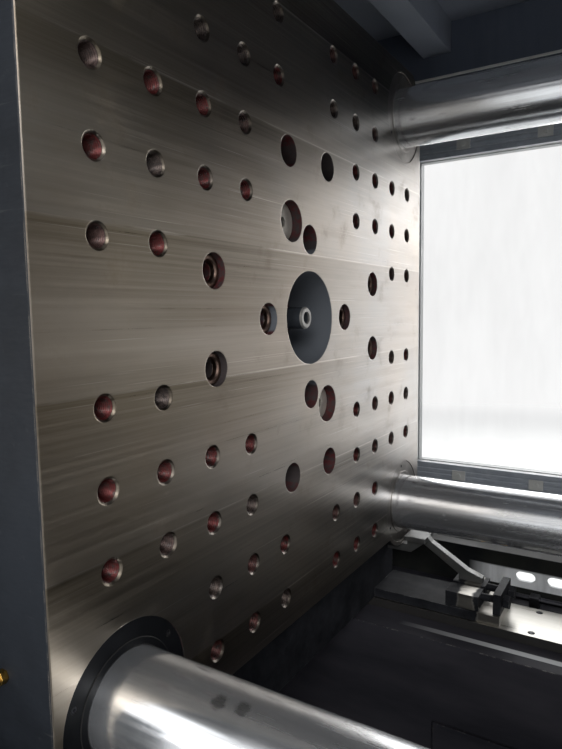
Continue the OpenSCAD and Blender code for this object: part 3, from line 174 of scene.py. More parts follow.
class Surface(Nodes):
    """The nodes of one material."""

    def __init__(self, name):
        self.soft = None
        self.material = bpy.data.materials.new(name)
        self.material.use_nodes = True
        super().__init__(self.material.node_tree)
        self.shader = self.add("BsdfPrincipled")
        self.out = self.add("OutputMaterial", {"Surface": self.shader.outputs[0]})
        coords = self.add("TexCoord").outputs
        self.place = coords["Object"]
        self.xyz = self.add("SeparateXYZ", {"Vector": self.place}).outputs
        self.x, self.y, self.z = self.xyz
        self.facing = self.add("SeparateXYZ", {"Vector": coords["Normal"]}).outputs

    def noise(self, scale, detail, rough=0.5, stretch=None, shift=0):
        vector = self.place
        if stretch or shift:
            vector = self.add("Mapping", {
                "Vector": vector, "Scale": stretch or (1, 1, 1),
                "Location": (shift, 2 * shift, -shift)}).outputs[0]
        return self.add("TexNoise", {"Vector": vector, "Scale": scale, "Detail": detail,
                                     "Roughness": rough}).outputs[0]

    def span(self, value, low, high, to_low=0, to_high=1):
        """value from low to high, as a number from to_low to to_high."""
        return self.add("MapRange", {
            "Value": value, "From Min": low, "From Max": high, "To Min": to_low,
            "To Max": to_high}).outputs[0]

    def swap(self, mask, outside, within):
        """The number outside where mask is 0, and within where it is 1."""
        return self.span(mask, 0, 1, outside, within)

    def inside(self, low, high, soft=0.002):
        """1 inside a box, fading to 0 over its faces."""
        return self.times(*[
            self.span(place, bound - sign * soft, bound + sign * soft)
            for place, *bounds in zip(self.xyz, low, high)
            for bound, sign in zip(bounds, (1, -1))])

    def away(self, at):
        """Distance from a point."""
        return self.add("VectorMath", {0: self.place, 1: at},
                        operation="DISTANCE").outputs["Value"]

    def pick_of_hole(self):
        """A random number from 0 to 1, the same all over one hole of the platens."""
        moved = self.add("VectorMath", {0: self.place, 1: (0, GRID / 2, 0)},
                         operation="ADD").outputs[0]
        cell = self.add("VectorMath", {0: moved, 1: (5, GRID, GRID)},
                        operation="SNAP").outputs[0]
        return self.add("TexWhiteNoise", {"Vector": cell}).outputs[0]

    def mix(self, factor, a, b):
        node = self.add("Mix", {0: factor, 6: a, 7: b}, data_type="RGBA")
        return node.outputs[2]

    def between(self, value, low, high, first, second):
        """A colour, first where value is low and second where it is high."""
        return self.mix(self.span(value, low, high), first, second)

    def layers(self, colour, *coats):
        """colour under coats, each of them (where it lies, its colour)."""
        for mask, coat in coats:
            colour = self.mix(mask, colour, coat)
        return colour

    def edge(self, width):
        """Mask of the outer and inner edges, which the bump then rounds."""
        self.soft = self.add("Bevel", {"Radius": width}, samples=4).outputs[0]
        hard = self.add("NewGeometry").outputs["Normal"]
        dot = self.add("VectorMath", {0: self.soft, 1: hard},
                       operation="DOT_PRODUCT").outputs["Value"]
        return self.span(dot, 0.995, 0.85)

    def finish(self, colour, rough, bump=None, **others):
        """The material. bump is (height, strength, distance), and others are sockets."""
        if bump:
            normal = self.add("Bump", dict(zip(("Height", "Strength", "Distance"), bump)))
            if self.soft:
                self.give(normal.inputs["Normal"], self.soft)
            others["Normal"] = normal.outputs[0]
        for key, value in {"Base_Color": colour, "Roughness": rough, **others}.items():
            self.give(self.shader.inputs[key.replace("_", " ")], value)
        return self.material


BARE_PAINT = (0.30, 0.29, 0.27, 1)  # linear


def painted(s, colour, rough, wear, darkening, dust=0.25, oiled_and_shaded=None):
    """Machine paint: clouded tint, runs of grime, dust low down and rubbed edges.
    The box (low corner, high corner) given last is where old oil and painted shade have
    blackened it."""
    others = {}
    patches = s.noise(1.7, 5, 0.6)
    cloud = s.noise(14, 4, 0.6)
    runs = s.times(s.span(s.noise(1, 6, 0.65, (16, 16, 1.3)), 0.53, 0.72),
                   s.span(patches, 0.3, 0.7), darkening)
    low = s.times(s.span(s.z, 0.75, 0.1), s.span(cloud, 0.3, 0.7), dust)
    tint = s.between(patches, 0.35, 0.65, shade(colour, 0.86), shade(colour, 1.08))
    tint = s.layers(tint, (s.span(cloud, 0.45, 0.7, 0, 0.35), shade(colour, 1.25)),
                    (runs, shade(colour, 0.45)), (low, (150, 144, 134)))
    if oiled_and_shaded:
        smear = s.noise(1, 5, 0.6, (2.2, 9, 9), 9)
        # Old oil and painted shade: the paint inside the mould bay is near black
        black = s.between(smear, 0.35, 0.7, (38, 38, 43), (60, 59, 64))
        in_oil_and_shade = s.inside(*oiled_and_shaded)
        others = {"Specular_IOR_Level": s.swap(in_oil_and_shade, 0.5, 0.03)}
        # Worn paint and a painted highlight: a light line along the beams' inner top edge,
        # fading in towards the stationary platen
        line = s.span(s.abs(s.minus(s.abs(s.y), BEAM_LINE_Y)), 0.007, 0.0055)
        line = s.times(line, s.span(s.z, BEAM_TOP - 0.001, BEAM_TOP + 0.0005),
                       s.span(s.x, -0.96, -0.80), s.span(smear, 0.2, 0.45),
                       s.span(s.facing[2], 0.5, 0.9))
        tint = s.layers(tint, (in_oil_and_shade, black), (line, (176, 177, 178)))
    chips = s.times(s.edge(0.0025), s.span(s.noise(60, 4, 0.7), 0.5, 0.62), wear)
    scuffs = s.times(s.span(s.noise(1, 3, 0.5, (7, 7, 420), 3), 0.66, 0.74),
                     s.span(patches, 0.5, 0.62), 0.3 * wear)
    tint = s.layers(tint, (chips, BARE_PAINT), (scuffs, shade(colour, 1.7)))
    rough = s.plus(s.span(cloud, 0.3, 0.7, rough - 0.07, rough + 0.1), s.times(runs, 0.3))
    return s.finish(tint, rough, bump=(s.noise(420, 2), 0.12, 0.0006), **others)


def steel(s, colour, rough, grain, dark_tone=0.4, rust=0.1):
    """Machined steel: brush marks along one axis, an oil film and faint staining."""
    patches = s.noise(5, 5, 0.6)
    marks = s.noise(1, 4, 0.7, grain)
    stain = s.times(s.span(s.noise(22, 6, 0.7, shift=5), 0.6, 0.75), rust)
    tint = s.between(marks, 0.3, 0.7, shade(colour, 0.84), shade(colour, 1.12))
    tint = s.layers(tint, (s.times(s.span(patches, 0.42, 0.68), dark_tone), shade(colour, 0.5)),
                    (stain, (96, 62, 42)),
                    (s.times(s.edge(0.0015), 0.5), shade(colour, 1.4)))
    rough = s.plus(s.span(marks, 0.3, 0.7, rough - 0.06, rough + 0.08),
                   s.times(stain, 0.3))
    return s.finish(tint, rough, Metallic=1, bump=(marks, 0.12, 0.0004))


def chrome(s, rough, prints=()):
    """Ground hard chrome: fine turned lines, long wipe marks of oil along the bar, and
    greasy finger prints at the given places."""
    wipe = s.noise(1, 5, 0.7, (0.6, 90, 90))
    rings = s.noise(1, 2, 0.5, (1400, 4, 4), 2)
    cloud = s.noise(7, 4, 0.6)
    tint = s.between(wipe, 0.35, 0.7, (226, 229, 233), (199, 200, 202))
    tint = s.mix(s.span(cloud, 0.5, 0.7, 0, 0.25), tint, (160, 158, 152))
    rough = s.plus(s.span(wipe, 0.35, 0.7, rough - 0.05, rough + 0.12),
                   s.span(cloud, 0.45, 0.7, 0, 0.1))
    for at in prints:
        ridges = s.span(s.noise(260, 3), 0.3, 0.7, -0.0016, 0.0016)
        spot = s.span(s.plus(s.away(at), ridges), 0.008, 0.0045, 0, 0.62)
        tint = s.mix(spot, tint, (70, 70, 68))
        rough = s.plus(rough, s.times(spot, 0.12))
    return s.finish(tint, rough, Metallic=0.88, bump=(rings, 0.05, 0.0002))


def plastic(s, colour, rough, dust):
    """Moulded plastic with dust in patches and slightly rubbed edges."""
    cloud = s.noise(30, 4, 0.6)
    dusty = s.times(s.span(s.noise(6, 5, 0.7), 0.5, 0.75), dust)
    tint = s.between(cloud, 0.3, 0.7, shade(colour, 0.88), shade(colour, 1.12))
    tint = s.layers(tint, (dusty, (120, 116, 108)),
                    (s.times(s.edge(0.0012), 0.25), shade(colour, 1.8)))
    return s.finish(tint, s.span(cloud, 0.3, 0.7, rough - 0.06, rough + 0.1),
                    bump=(s.noise(900, 2), 0.1, 0.0003))


def platen(s, face_x, inward):
    """Milled face in overlapping passes under an oil film; painted edges and back."""
    z = s.minus(s.z, AXIS_Z)
    drop = s.math("DIVIDE", s.minus(PASS_TOP, z), PASS_H)
    along = s.math("FRACT", s.plus(drop, 4), 0)
    tint_of_pass = s.add("TexWhiteNoise", {
        "W": s.math("FLOOR", drop, 0)}, noise_dimensions="1D").outputs[0]
    brushed = s.noise(1, 5, 0.7, (60, 2.2, 330))
    swirl = s.noise(1, 4, 0.6, (40, 7, 46), 4)
    patches = s.noise(3.2, 5, 0.62)
    blots = s.noise(19, 6, 0.7, shift=7)
    wipe = s.noise(1, 3, 0.55, (9, 1.1, 5.5), 11)
    scratch = s.noise(1, 2, 0.5, (30, 5, 900), 13)
    # Each pass is dark at its top, and more so on the left
    shadow = s.times(s.span(along, 0, 0.46, 1, 0), s.span(s.y, 0.15, -0.25, 0.25, 0.95))
    line = s.times(s.span(along, 0, 0.018, 1, 0), s.span(swirl, 0.38, 0.55), 0.5)
    # Painted shade: the face is darkened low in the centre and over its upper part, where
    # it mirrors the dark inside of the machine
    low_mid_shade = s.times(s.span(z, -0.1, -0.22), s.span(s.y, -0.18, 0.02),
                      s.span(s.y, 0.32, 0.2))
    top_rear_shade = s.times(s.span(z, 0.17, 0.3), s.span(s.y, 0.02, 0.2))
    middle_shade = s.times(s.span(s.abs(s.plus(s.y, 0.19)), 0.17, 0.08), s.span(z, -0.2, 0), 0.5)
    top_near_shade = s.times(s.span(z, 0.15, 0.2, 0, 0.5), s.span(s.y, 0.08, -0.12))
    darkening = s.either(s.times(s.either(low_mid_shade, top_rear_shade), 0.68), middle_shade, top_near_shade)
    film = s.between(s.y, -0.2, -0.33, (106, 91, 68), (184, 167, 136))
    # Dull rims and walls of the holes, with red preservative in some
    square_on = s.abs(s.facing[0])
    wall = s.span(square_on, 0.65, 0.5)
    red = s.times(s.span(s.pick_of_hole(), 0.3, 0.6),
                  s.span(s.noise(160, 4, 0.7), 0.4, 0.6), 0.85)
    bore_wall = s.times(wall, s.span(s.away((face_x, 0, AXIS_Z)), 0.092, 0.088))
    face = s.between(patches, 0.35, 0.65, (150, 140, 130), (136, 136, 136))
    face = s.layers(
        face, (shadow, (70, 65, 57)), (s.times(tint_of_pass, 0.26), (108, 100, 92)),
        # Painted reflection of the dark roof: the face above the top pass is almost black
        (s.span(z, PASS_TOP - 0.001, PASS_TOP + 0.001, 0, 0.9), (21, 20, 18)),
        (darkening, (58, 56, 52)), (s.span(brushed, 0.35, 0.75, 0, 0.35), (182, 174, 165)),
        (s.span(swirl, 0.5, 0.72, 0, 0.25), (96, 88, 80)),
        (s.span(blots, 0.58, 0.76, 0, 0.4), (88, 72, 56)),
        (s.span(wipe, 0.54, 0.66, 0, 0.34), (190, 184, 178)),
        (s.span(scratch, 0.69, 0.74, 0, 0.4), (206, 200, 194)),
        (s.span(s.y, 0.22, 0, 0, 0.27), film), (line, (204, 196, 188)),
        (s.span(square_on, 0.93, 0.86, 0, 0.6), (64, 57, 53)),
        (wall, s.mix(red, (60, 54, 54), (84, 28, 30))), (bore_wall, (98, 102, 108)))
    # Painted sides, edges and back
    depth = s.times(s.minus(face_x, s.x), inward)
    outside_y = s.span(s.abs(s.y), PLATEN_Y - 0.0010, PLATEN_Y - 0.0008)
    top = s.span(z, PLATEN_UP - 0.0004, PLATEN_UP - 0.0002)
    low = s.span(z, 0.0002 - PLATEN_DOWN, -0.0001 - PLATEN_DOWN)
    corner = s.times(s.span(s.abs(s.y), 0.375, 0.3755), wall)
    back = s.span(depth, PLATEN_DEEP - 0.0007, PLATEN_DEEP - 0.0005)
    paint = s.times(s.either(outside_y, top, low, corner, back),
                    s.span(depth, 0.0006, 0.0008))
    rub = s.times(s.edge(0.0015), s.span(s.noise(45, 5, 0.7), 0.42, 0.6), 0.7)
    # Painted shade: the sides and back are painted darker than the machine's other navy
    # paint
    coat = s.between(s.noise(8, 5, 0.65), 0.35, 0.65, (22, 25, 30), (34, 38, 44))
    coat = s.layers(
        coat, (s.span(s.noise(70, 5, 0.7), 0.62, 0.74, 0, 0.3), (72, 74, 76)),
        (s.span(s.noise(1, 3, 0.5, (9, 9, 200), 6), 0.68, 0.73, 0, 0.3), (96, 96, 94)),
        (rub, (150, 140, 128)))
    rough = s.plus(s.span(brushed, 0.3, 0.7, 0.27, 0.40),
                   s.span(blots, 0.55, 0.75, 0, 0.12), s.times(paint, 0.16),
                   s.times(wall, 0.25))
    height = s.plus(s.times(brushed, 0.6), s.times(along, 0.25))
    return s.finish(s.mix(paint, face, coat), rough,
                    Metallic=s.minus(1, s.either(paint, wall)),
                    Specular_IOR_Level=s.span(z, -0.4, -0.1, 0.08, 0.3),
                    bump=(height, 0.10, 0.0006))


def wiper(s):
    """Rings round the tie bars: black with grease at the front, wiped at the rear."""
    turned_marks = s.noise(1, 3, 0.6, (200, 30, 30))
    patches = s.noise(9, 5, 0.65)
    plain = s.between(turned_marks, 0.3, 0.7, (112, 108, 104), (146, 141, 136))
    greasy = s.between(patches, 0.35, 0.7, (14, 15, 17), (25, 26, 29))
    rear = s.span(s.y, -0.01, 0.01)
    tint = s.layers(greasy, (rear, plain),
                    (s.times(s.edge(0.0008), s.swap(rear, 0.12, 0.4)), (150, 146, 140)))
    rough = s.plus(s.span(patches, 0.3, 0.7, 0.34, 0.5), s.times(rear, -0.06))
    return s.finish(tint, rough, Metallic=s.swap(rear, 0.1, 1),
                    Specular_IOR_Level=s.swap(rear, 0.12, 0.5),
                    bump=(turned_marks, 0.1, 0.0003))


def thread(s):
    """Threads in the tapped holes, with red preservative in some of them."""
    flecks = s.noise(170, 4, 0.7)
    red = s.times(s.span(s.pick_of_hole(), 0.2, 0.6), s.span(flecks, 0.36, 0.52), 0.9)
    plain = s.between(flecks, 0.4, 0.65, (52, 44, 42), (96, 84, 78))
    return s.finish(s.mix(red, plain, (84, 22, 22)), s.span(flecks, 0.3, 0.7, 0.3, 0.5),
                    Metallic=0.6, bump=(flecks, 0.2, 0.0004))


def ended_steel(s, colour, body, x_end, reach):
    """A rod with a wiped face at x_end and a dark body behind it, oily and in painted
    shade.
    """
    marks = s.noise(1, 4, 0.6, (400, 60, 60))
    cloud = s.noise(70, 4, 0.6)
    face = s.between(cloud, 0.35, 0.7, colour, shade(colour, 0.7))
    oily_and_shaded = s.between(cloud, 0.35, 0.7, body, shade(body, 0.6))
    at_face = s.span(s.x, x_end - reach, x_end - 0.8 * reach)
    tint = s.layers(oily_and_shaded, (at_face, face),
                    (s.times(s.edge(0.0008), 0.4), shade(colour, 1.2)))
    return s.finish(tint, s.span(marks, 0.3, 0.7, 0.32, 0.5),
                    Metallic=s.swap(at_face, 0.2, 0.45), bump=(marks, 0.12, 0.0003))


def way_metal(s):
    """Slide ways: a bright swept top between dark sides."""
    marks = s.noise(1, 4, 0.7, (3, 60, 60))
    cloud = s.noise(9, 5, 0.65)
    top = s.between(marks, 0.3, 0.7, (132, 131, 126), (150, 148, 143))
    top = s.mix(s.span(cloud, 0.5, 0.7, 0, 0.3), top, (128, 123, 112))
    side = s.between(cloud, 0.3, 0.7, (22, 21, 21), (36, 34, 33))
    swept = s.span(s.facing[2], 0.6, 0.8)
    rough = s.plus(s.span(marks, 0.3, 0.7, 0.26, 0.36), s.swap(swept, 0.4, 0))
    s.edge(0.001)
    return s.finish(s.mix(swept, side, top), rough, Metallic=s.swap(swept, 0.1, 1),
                    bump=(marks, 0.08, 0.0003))


def shoe_metal(s, x0, x1):
    """Steel under old grease, wiped clean from x0 to x1, with painted glints on its edges.
    """
    marks = s.noise(1, 4, 0.7, (4, 40, 60))
    cloud = s.noise(26, 5, 0.7)
    clean = s.between(marks, 0.3, 0.7, (118, 115, 110), (146, 143, 137))
    black = s.between(cloud, 0.35, 0.7, (20, 21, 24), (40, 41, 45))
    place = s.plus(s.x, s.span(cloud, 0.3, 0.7, -0.004, 0.004))
    wiped = s.times(s.span(place, x0 - 0.004, x0), s.span(place, x1 + 0.004, x1))
    # Painted glints: pale flecks along the edges
    glints = s.times(s.edge(0.0012), s.span(cloud, 0.45, 0.6, 0, 0.5))
    rough = s.plus(s.span(marks, 0.3, 0.7, 0.34, 0.46), s.swap(wiped, 0.2, 0))
    return s.finish(s.layers(black, (wiped, clean), (glints, (150, 150, 150))), rough,
                    Metallic=wiped, Specular_IOR_Level=s.swap(wiped, 0.1, 0.5),
                    bump=(marks, 0.1, 0.0004))


def splash_sheet(s):
    """Grey sheet, black along its foot and over its top, with painted shadow behind the
    moving platen.
    """
    cloud = s.noise(12, 5, 0.65)
    drips = s.noise(1, 5, 0.65, (14, 14, 2))
    plain = s.between(cloud, 0.35, 0.65, (212, 214, 216), (228, 230, 232))
    dark_tone = s.between(cloud, 0.35, 0.65, (26, 27, 29), (40, 41, 38))
    # Black along the foot and the fold, and painted shadow towards the moving platen
    black = s.either(s.span(s.z, PLATE_FOOT + 0.0005, PLATE_FOOT - 0.0005),
                     s.span(s.z, PLATE_FOLD - 0.0015, PLATE_FOLD + 0.0015),
                     s.span(s.x, -0.86, -0.90))
    tint = s.layers(plain, (s.span(drips, 0.5, 0.7, 0, 0.5), (76, 76, 76)),
                    (s.times(s.edge(0.001), 0.4), (160, 162, 164)), (black, dark_tone))
    return s.finish(
        tint, s.span(cloud, 0.3, 0.7, 0.44, 0.58), Metallic=s.swap(black, 0.15, 0),
        Specular_IOR_Level=s.swap(black, 0.5, 0.1), bump=(cloud, 0.05, 0.0005))


def rail_plastic(s):
    """Grooved black rails with painted highlights on the edges of the ridges."""
    cloud = s.noise(40, 4, 0.6)
    glints = s.noise(1, 4, 0.6, (5, 60, 60), 3)
    base = s.between(cloud, 0.3, 0.7, (156, 162, 172), (178, 184, 192))
    # Painted highlights: the edges of the ridges are made pale
    ridges = s.times(s.edge(0.0016), s.span(glints, 0.3, 0.6, 0.5, 1))
    return s.finish(s.mix(ridges, base, (196, 201, 208)),
                    s.span(cloud, 0.3, 0.7, 0.34, 0.5),
                    bump=(s.noise(700, 2), 0.08, 0.0003))


def clear_sheet(s):
    """Clear window sheet under a thin smeared film."""
    smear = s.noise(1, 5, 0.7, (5, 5, 1.4))
    tint = s.between(smear, 0.4, 0.7, (205, 216, 220), (226, 228, 226))
    return s.finish(tint, s.span(smear, 0.4, 0.7, 0.05, 0.16), IOR=1.49,
                    Alpha=s.span(smear, 0.45, 0.75, 0.03, 0.09))


FLOOR_NEAR = 4.2
FLOOR_FAR = 8


def stage_floor(s):
    """Pale floor that turns into the white background with the distance."""
    tint = s.between(s.noise(3, 4), 0.3, 0.7, (232, 232, 230), (238, 238, 236))
    fade = s.span(s.away((0, 0, 0)), FLOOR_NEAR, FLOOR_FAR)
    white = s.add("Emission", {"Color": (1, 1, 1, 1), "Strength": 1})
    blend = s.add("MixShader", {0: s.times(s.seen(), fade), 1: s.shader.outputs[0],
                                2: white.outputs[0]})
    s.give(s.out.inputs["Surface"], blend.outputs[0])
    return s.finish(tint, 0.6)


NAVY = (56, 62, 74)
MOULD_BAY = ((-1.38, -0.47, 0.25), (0.335, 0.47, 0.74))
FINGER_PRINTS = ((-0.879, -0.349, 0.940), (-0.858, -0.347, 0.941))

# Who makes it, its name, the nodes that wear it, and what the maker takes
FINISHES = (
    (painted, "dark_paint", "injection_base cylinder_platen ejector_housing "
     "carriage_housing crossbeam", NAVY, 0.5, 0.6, 0.5),
    (painted, "base_paint", "clamp_base product_chute",
     NAVY, 0.5, 0.6, 0.5, 0.25, MOULD_BAY),
    (painted, "light_paint", "clamp_hood front_door rear_door control_panel barrel_cover "
     "purge_guard", (172, 174, 174), 0.48, 0.3, 0.25, 0.2),
    (painted, "frame_paint", "front_gate_frame rear_gate_frame",
     (76, 83, 97), 0.5, 0.6, 0.5),
    (painted, "black_paint", "top_cover", (120, 125, 136), 0.5, 0.4, 0.3),
    (painted, "hydraulic_paint", "main_cylinder traverse_cylinders screw_motor "
     "injection_cylinders carriage_cylinders ejector_cylinders",
     (104, 112, 122), 0.4, 0.5, 0.5),
    (steel, "machined_steel", "levelling_feet tie_bar_nuts carriage_rails ejector_plate "
     "barrel nozzle", (168, 166, 162), 0.34, (4, 40, 300)),
    (steel, "lever_steel", "skate_braces", (116, 117, 116), 0.5, (50, 50, 50), 0.7, 0.3),
    (steel, "bronze", "platen_bushes", (176, 128, 70), 0.36, (40, 8, 8)),
    (steel, "brass", "grease_fittings", (200, 160, 82), 0.3, (90, 90, 90), 0.2),
    (steel, "zinc", "", (176, 178, 180), 0.34, (90, 90, 90), 0.3),
    (steel, "aluminium", "door_tracks", (150, 156, 164), 0.42, (2, 90, 90), 0.2, 0.03),
    (steel, "bright_steel", "heater_bands hopper hopper_lid feed_gate",
     (190, 190, 188), 0.26, (60, 60, 6), 0.2, 0.05),
    (steel, "black_oxide", "grease_pipes", (58, 58, 62), 0.38, (80, 80, 80), 0.3, 0.15),
    (steel, "bush_steel", "", (128, 108, 98), 0.36, (90, 90, 90), 0.5, 0.9),
    (ended_steel, "guide_steel", "ejector_guide_rods",
     (206, 200, 190), (120, 116, 110), X_MOV - 0.013, 0.004),
    (ended_steel, "rod_steel", "ejector_rods",
     (150, 148, 144), (66, 70, 76), X_MOV - 0.006, 0.003),
    (chrome, "hard_chrome", "clamp_ram traverse_rods carriage_rods injection_rods screw",
     0.14),
    (chrome, "tie_chrome", "tie_bars", 0.165, FINGER_PRINTS),
    (plastic, "rubber", "", (24, 25, 27), 0.6, 0.25),
    (plastic, "orange_plastic", "", (214, 170, 40), 0.35, 0.05),
    (plastic, "grey_plastic", "", (120, 124, 128), 0.45, 0.1),
    (plastic, "white_plastic", "rear_window_clips", (206, 206, 202), 0.4, 0.1),
    (plastic, "green_plastic", "", (46, 128, 70), 0.4, 0.1),
    (plastic, "black_plastic", "front_door_handle rear_door_handle",
     (30, 31, 34), 0.45, 0.2),
    (plastic, "red_plastic", "emergency_stop", (186, 28, 26), 0.3, 0.05),
    (plastic, "sight_glass", "", (70, 66, 52), 0.08, 0.05),
    (plastic, "screen_glass", "display_screen", (20, 23, 28), 0.12, 0.06),
    (platen, "moving_face", "moving_platen", X_MOV, 1),
    (platen, "stationary_face", "stationary_platen", X_FIX, -1),
    (shoe_metal, "shoe_steel", "platen_skates", -0.84, -0.8),
    (shoe_metal, "wedge_steel", "wedge_blocks", -0.872, -0.851),
    (way_metal, "way_steel", "slide_ways"),
    (wiper, "ring_steel", "wiper_rings"),
    (thread, "thread_steel", ""),
    (splash_sheet, "splash_sheet", "splash_plates"),
    (rail_plastic, "rail_plastic", "rear_window_rails"),
    (clear_sheet, "clear_sheet", "front_door_window rear_door_window"),
)

MATERIALS = {}
for make, name, nodes, *values in FINISHES:
    MATERIALS[name] = make(Surface(name), *values)
    for node in nodes.split():
        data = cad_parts[node].data
        data.materials.clear()
        data.materials.append(MATERIALS[name])

# Mesh pieces

# Outlines of screws that stand on a surface, as (radius, height) in thread diameters,
# with the number of sides and which points of the outline lie on a hexagon
SCREWS = {
    "socket": (((0, 0), (0.75, 0), (0.75, 0.85), (0.675, 1), (0.4, 1), (0.4, 0.45),
                (0, 0.4)), 24, (4, 5)),
    "hex": (((0, 0), (1.05, 0), (1.05, 0.15), (0.8, 0.15), (0.8, 0.72), (0.72, 0.8),
             (0, 0.8)), 24, (3, 4)),
    "button": (((0, 0), (0.9, 0), (0.84, 0.3), (0.55, 0.52), (0.3, 0.56), (0.3, 0.25),
                (0, 0.22)), 18, (4, 5)),
}


class Mesh:
    """Gathers solids in one mesh, in metres and in the machine's frame."""

    def __init__(self):
        self.bm = bmesh.new()

    def box(self, a, b, bevel, segments=1):
        """A box between two opposite corners."""
        a, b = Vector(a), Vector(b)
        size = [abs(v) for v in b - a]
        made = bmesh.ops.create_cube(self.bm, size=1.0)["verts"]
        bmesh.ops.transform(self.bm, verts=made, matrix=Matrix.Translation(
            (a + b) / 2) @ Matrix.Diagonal((*size, 1)))
        edges = list({e for v in made for e in v.link_edges})
        bmesh.ops.bevel(self.bm, geom=edges, offset=bevel, segments=segments,
                        affect="EDGES", profile=0.5)

    def border(self, xs, ys, zs, width, bevel, tall=False):
        """Four strips round a rectangle; xs, ys and zs are (low, high). The upright strips
        take the corners if tall, and otherwise the level ones."""
        (x0, x1), (y0, y1), (z0, z1) = xs, ys, zs
        more_x, more_z = (0, width) if tall else (width, 0)
        for low, high in ((z0 - width, z0), (z1, z1 + width)):
            self.box((x0 - more_x, y0, low), (x1 + more_x, y1, high), bevel)
        for low, high in ((x0 - width, x0), (x1, x1 + width)):
            self.box((low, y0, z0 - more_z), (high, y1, z1 + more_z), bevel)

    def turned(self, profile, places, axis, sides=32, hexagon=()):
        """A body of revolution at each place. profile holds (radius, distance along axis)
        in millimetres; its points numbered in hexagon lie on a six-sided outline."""
        turn = Vector((0, 0, 1)).rotation_difference(Vector(axis).normalized()).to_matrix()
        for at in places:
            rings = []
            for index, (radius, along) in enumerate(profile):
                ring = []
                for k in range(sides if radius else 1):
                    a = 2 * pi * k / sides
                    r = radius / 1000
                    if index in hexagon:
                        r /= cos((a % (pi / 3)) - pi / 6)
                    ring.append(self.bm.verts.new(Vector(at) + turn @ Vector(
                        (r * cos(a), r * sin(a), along / 1000))))
                rings.append(ring)
            self.skin(rings, False)

    def screws(self, kind, d, axis, places):
        """Screws of thread diameter d, in millimetres, that stand on a surface."""
        profile, sides, hexagon = SCREWS[kind]
        self.turned([(r * d, along * d) for r, along in profile], places, axis, sides,
                    hexagon)

    def flush_screws(self, radius, key, height, places):
        """Countersunk screws in a level surface, with a key opening."""
        self.turned([(0, 0), (radius, 0), (radius - 0.3, height), (key, height),
                     (key, 0.1), (0, 0.1)], places, (0, 0, 1), 20, (4,))

    def skin(self, rings, closed=True):
        """Faces between rings of corners or points, and over both ends if closed."""
        for a, b in zip(rings, rings[1:]):
            count = max(len(a), len(b))
            for k in range(count):
                n = (k + 1) % count
                face = dict.fromkeys((a[k % len(a)], b[k % len(b)], b[n % len(b)],
                                      a[n % len(a)]))
                if len(face) > 2:
                    self.bm.faces.new(list(face))
        if closed:
            self.bm.faces.new(rings[0])
            self.bm.faces.new(rings[-1][::-1])

    def tube(self, points, radius, sides=12):
        """A round bar that follows the points, closed at both ends."""
        points = [Vector(p) for p in points]
        rings = []
        up = Vector((0.3, 0.2, 1)).normalized()
        for i, p in enumerate(points):
            ahead = points[min(i + 1, len(points) - 1)] - points[max(i - 1, 0)]
            t = ahead.normalized()
            side = t.cross(up).normalized()
            up = side.cross(t).normalized()
            turns = [2 * pi * k / sides for k in range(sides)]
            rings.append([self.bm.verts.new(p + radius * (side * cos(a) + up * sin(a)))
                          for a in turns])
        self.skin(rings)

    def done(self, name, material, body="machine"):
        mesh = bpy.data.meshes.new(name)
        bmesh.ops.recalc_face_normals(self.bm, faces=self.bm.faces)
        self.bm.to_mesh(mesh)
        self.bm.free()
        mesh.polygons.foreach_set("use_smooth", [True] * len(mesh.polygons))
        mesh.set_sharp_from_angle(angle=radians(32))
        mesh.materials.append(MATERIALS[material])
        piece = show(name, mesh)
        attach(piece, body)


# Small parts, placed from the boxes of the nodes that carry them


def corners(node):
    low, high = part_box(node)
    return Vector(low), Vector(high)


def spread(low, high, count, margin=0.0):
    """count places from low to high, both included, or that much within them."""
    low, high = low + margin, high - margin
    return [low + (high - low) * i / (count - 1) for i in range(count)]


def circle(x, y, z, radius, count, start=0.0):
    """Places on a circle round a point, in the plane across the clamp axis."""
    turns = [start + 2 * pi * i / count for i in range(count)]
    return [(x, y + radius * cos(a), z + radius * sin(a)) for a in turns]


def four(y, z):
    """A place and its mirror images beside, above and below the axis, as (y, z)."""
    return [(side * y, AXIS_Z + up * z) for side in (-1, 1) for up in (-1, 1)]


def rows_of_holes(column):
    """Rows of tapped holes in a column of the grid, both counted from the axis."""
    return (4, 5) if column == 1 else (2, 3, 4, 5) if column < 4 else (1, 2, 3)


HOLES = [place for column in range(1, 6) for row in rows_of_holes(column)
         for place in four(column * GRID, row * GRID)]
TIE_PLACES = four(TIE, TIE)
PASSAGES = four(0.2, 0.05) + [(-0.1, AXIS_Z), (0.1, AXIS_Z)]


def hole_threads(name, body, x, inward):
    """Threads just inside the mouths of a platen's tapped holes."""
    mesh = Mesh()
    start, pitch, turns = 2.4, 2.5, 11
    profile = [(9.95, start)]
    for i in range(turns):
        profile += [(r, start + (i + part) * pitch)
                    for r, part in ((8.8, 0.45), (8.8, 0.6), (9.8, 1))]
    end = start + turns * pitch + 1
    profile += [(8, end), (9.95, end), (9.95, start)]
    mesh.turned(profile, [(x, y, z) for y, z in HOLES], (-inward, 0, 0), 16)
    mesh.done(name, "thread_steel", body)


def wiper_screws():
    """Three flush screws in each ring round a tie bar."""
    mesh = Mesh()
    profile = [(0, -2), (2.9, -2), (2.9, -0.3), (2.6, 0), (1.3, 0), (1.3, -1.4), (0, -1.4)]
    for (y, z), turn in product(TIE_PLACES, (0, 120, 240)):
        a = radians((247 if y < 0 else 183) + turn)
        at = (X_MOV - 0.0012, y + RING_SCREW_R * sin(a), z - RING_SCREW_R * cos(a))
        mesh.turned(profile, [at], (1, 0, 0), 18, (4, 5))
    mesh.done("wiper_ring_screws", "black_oxide", "clamp")


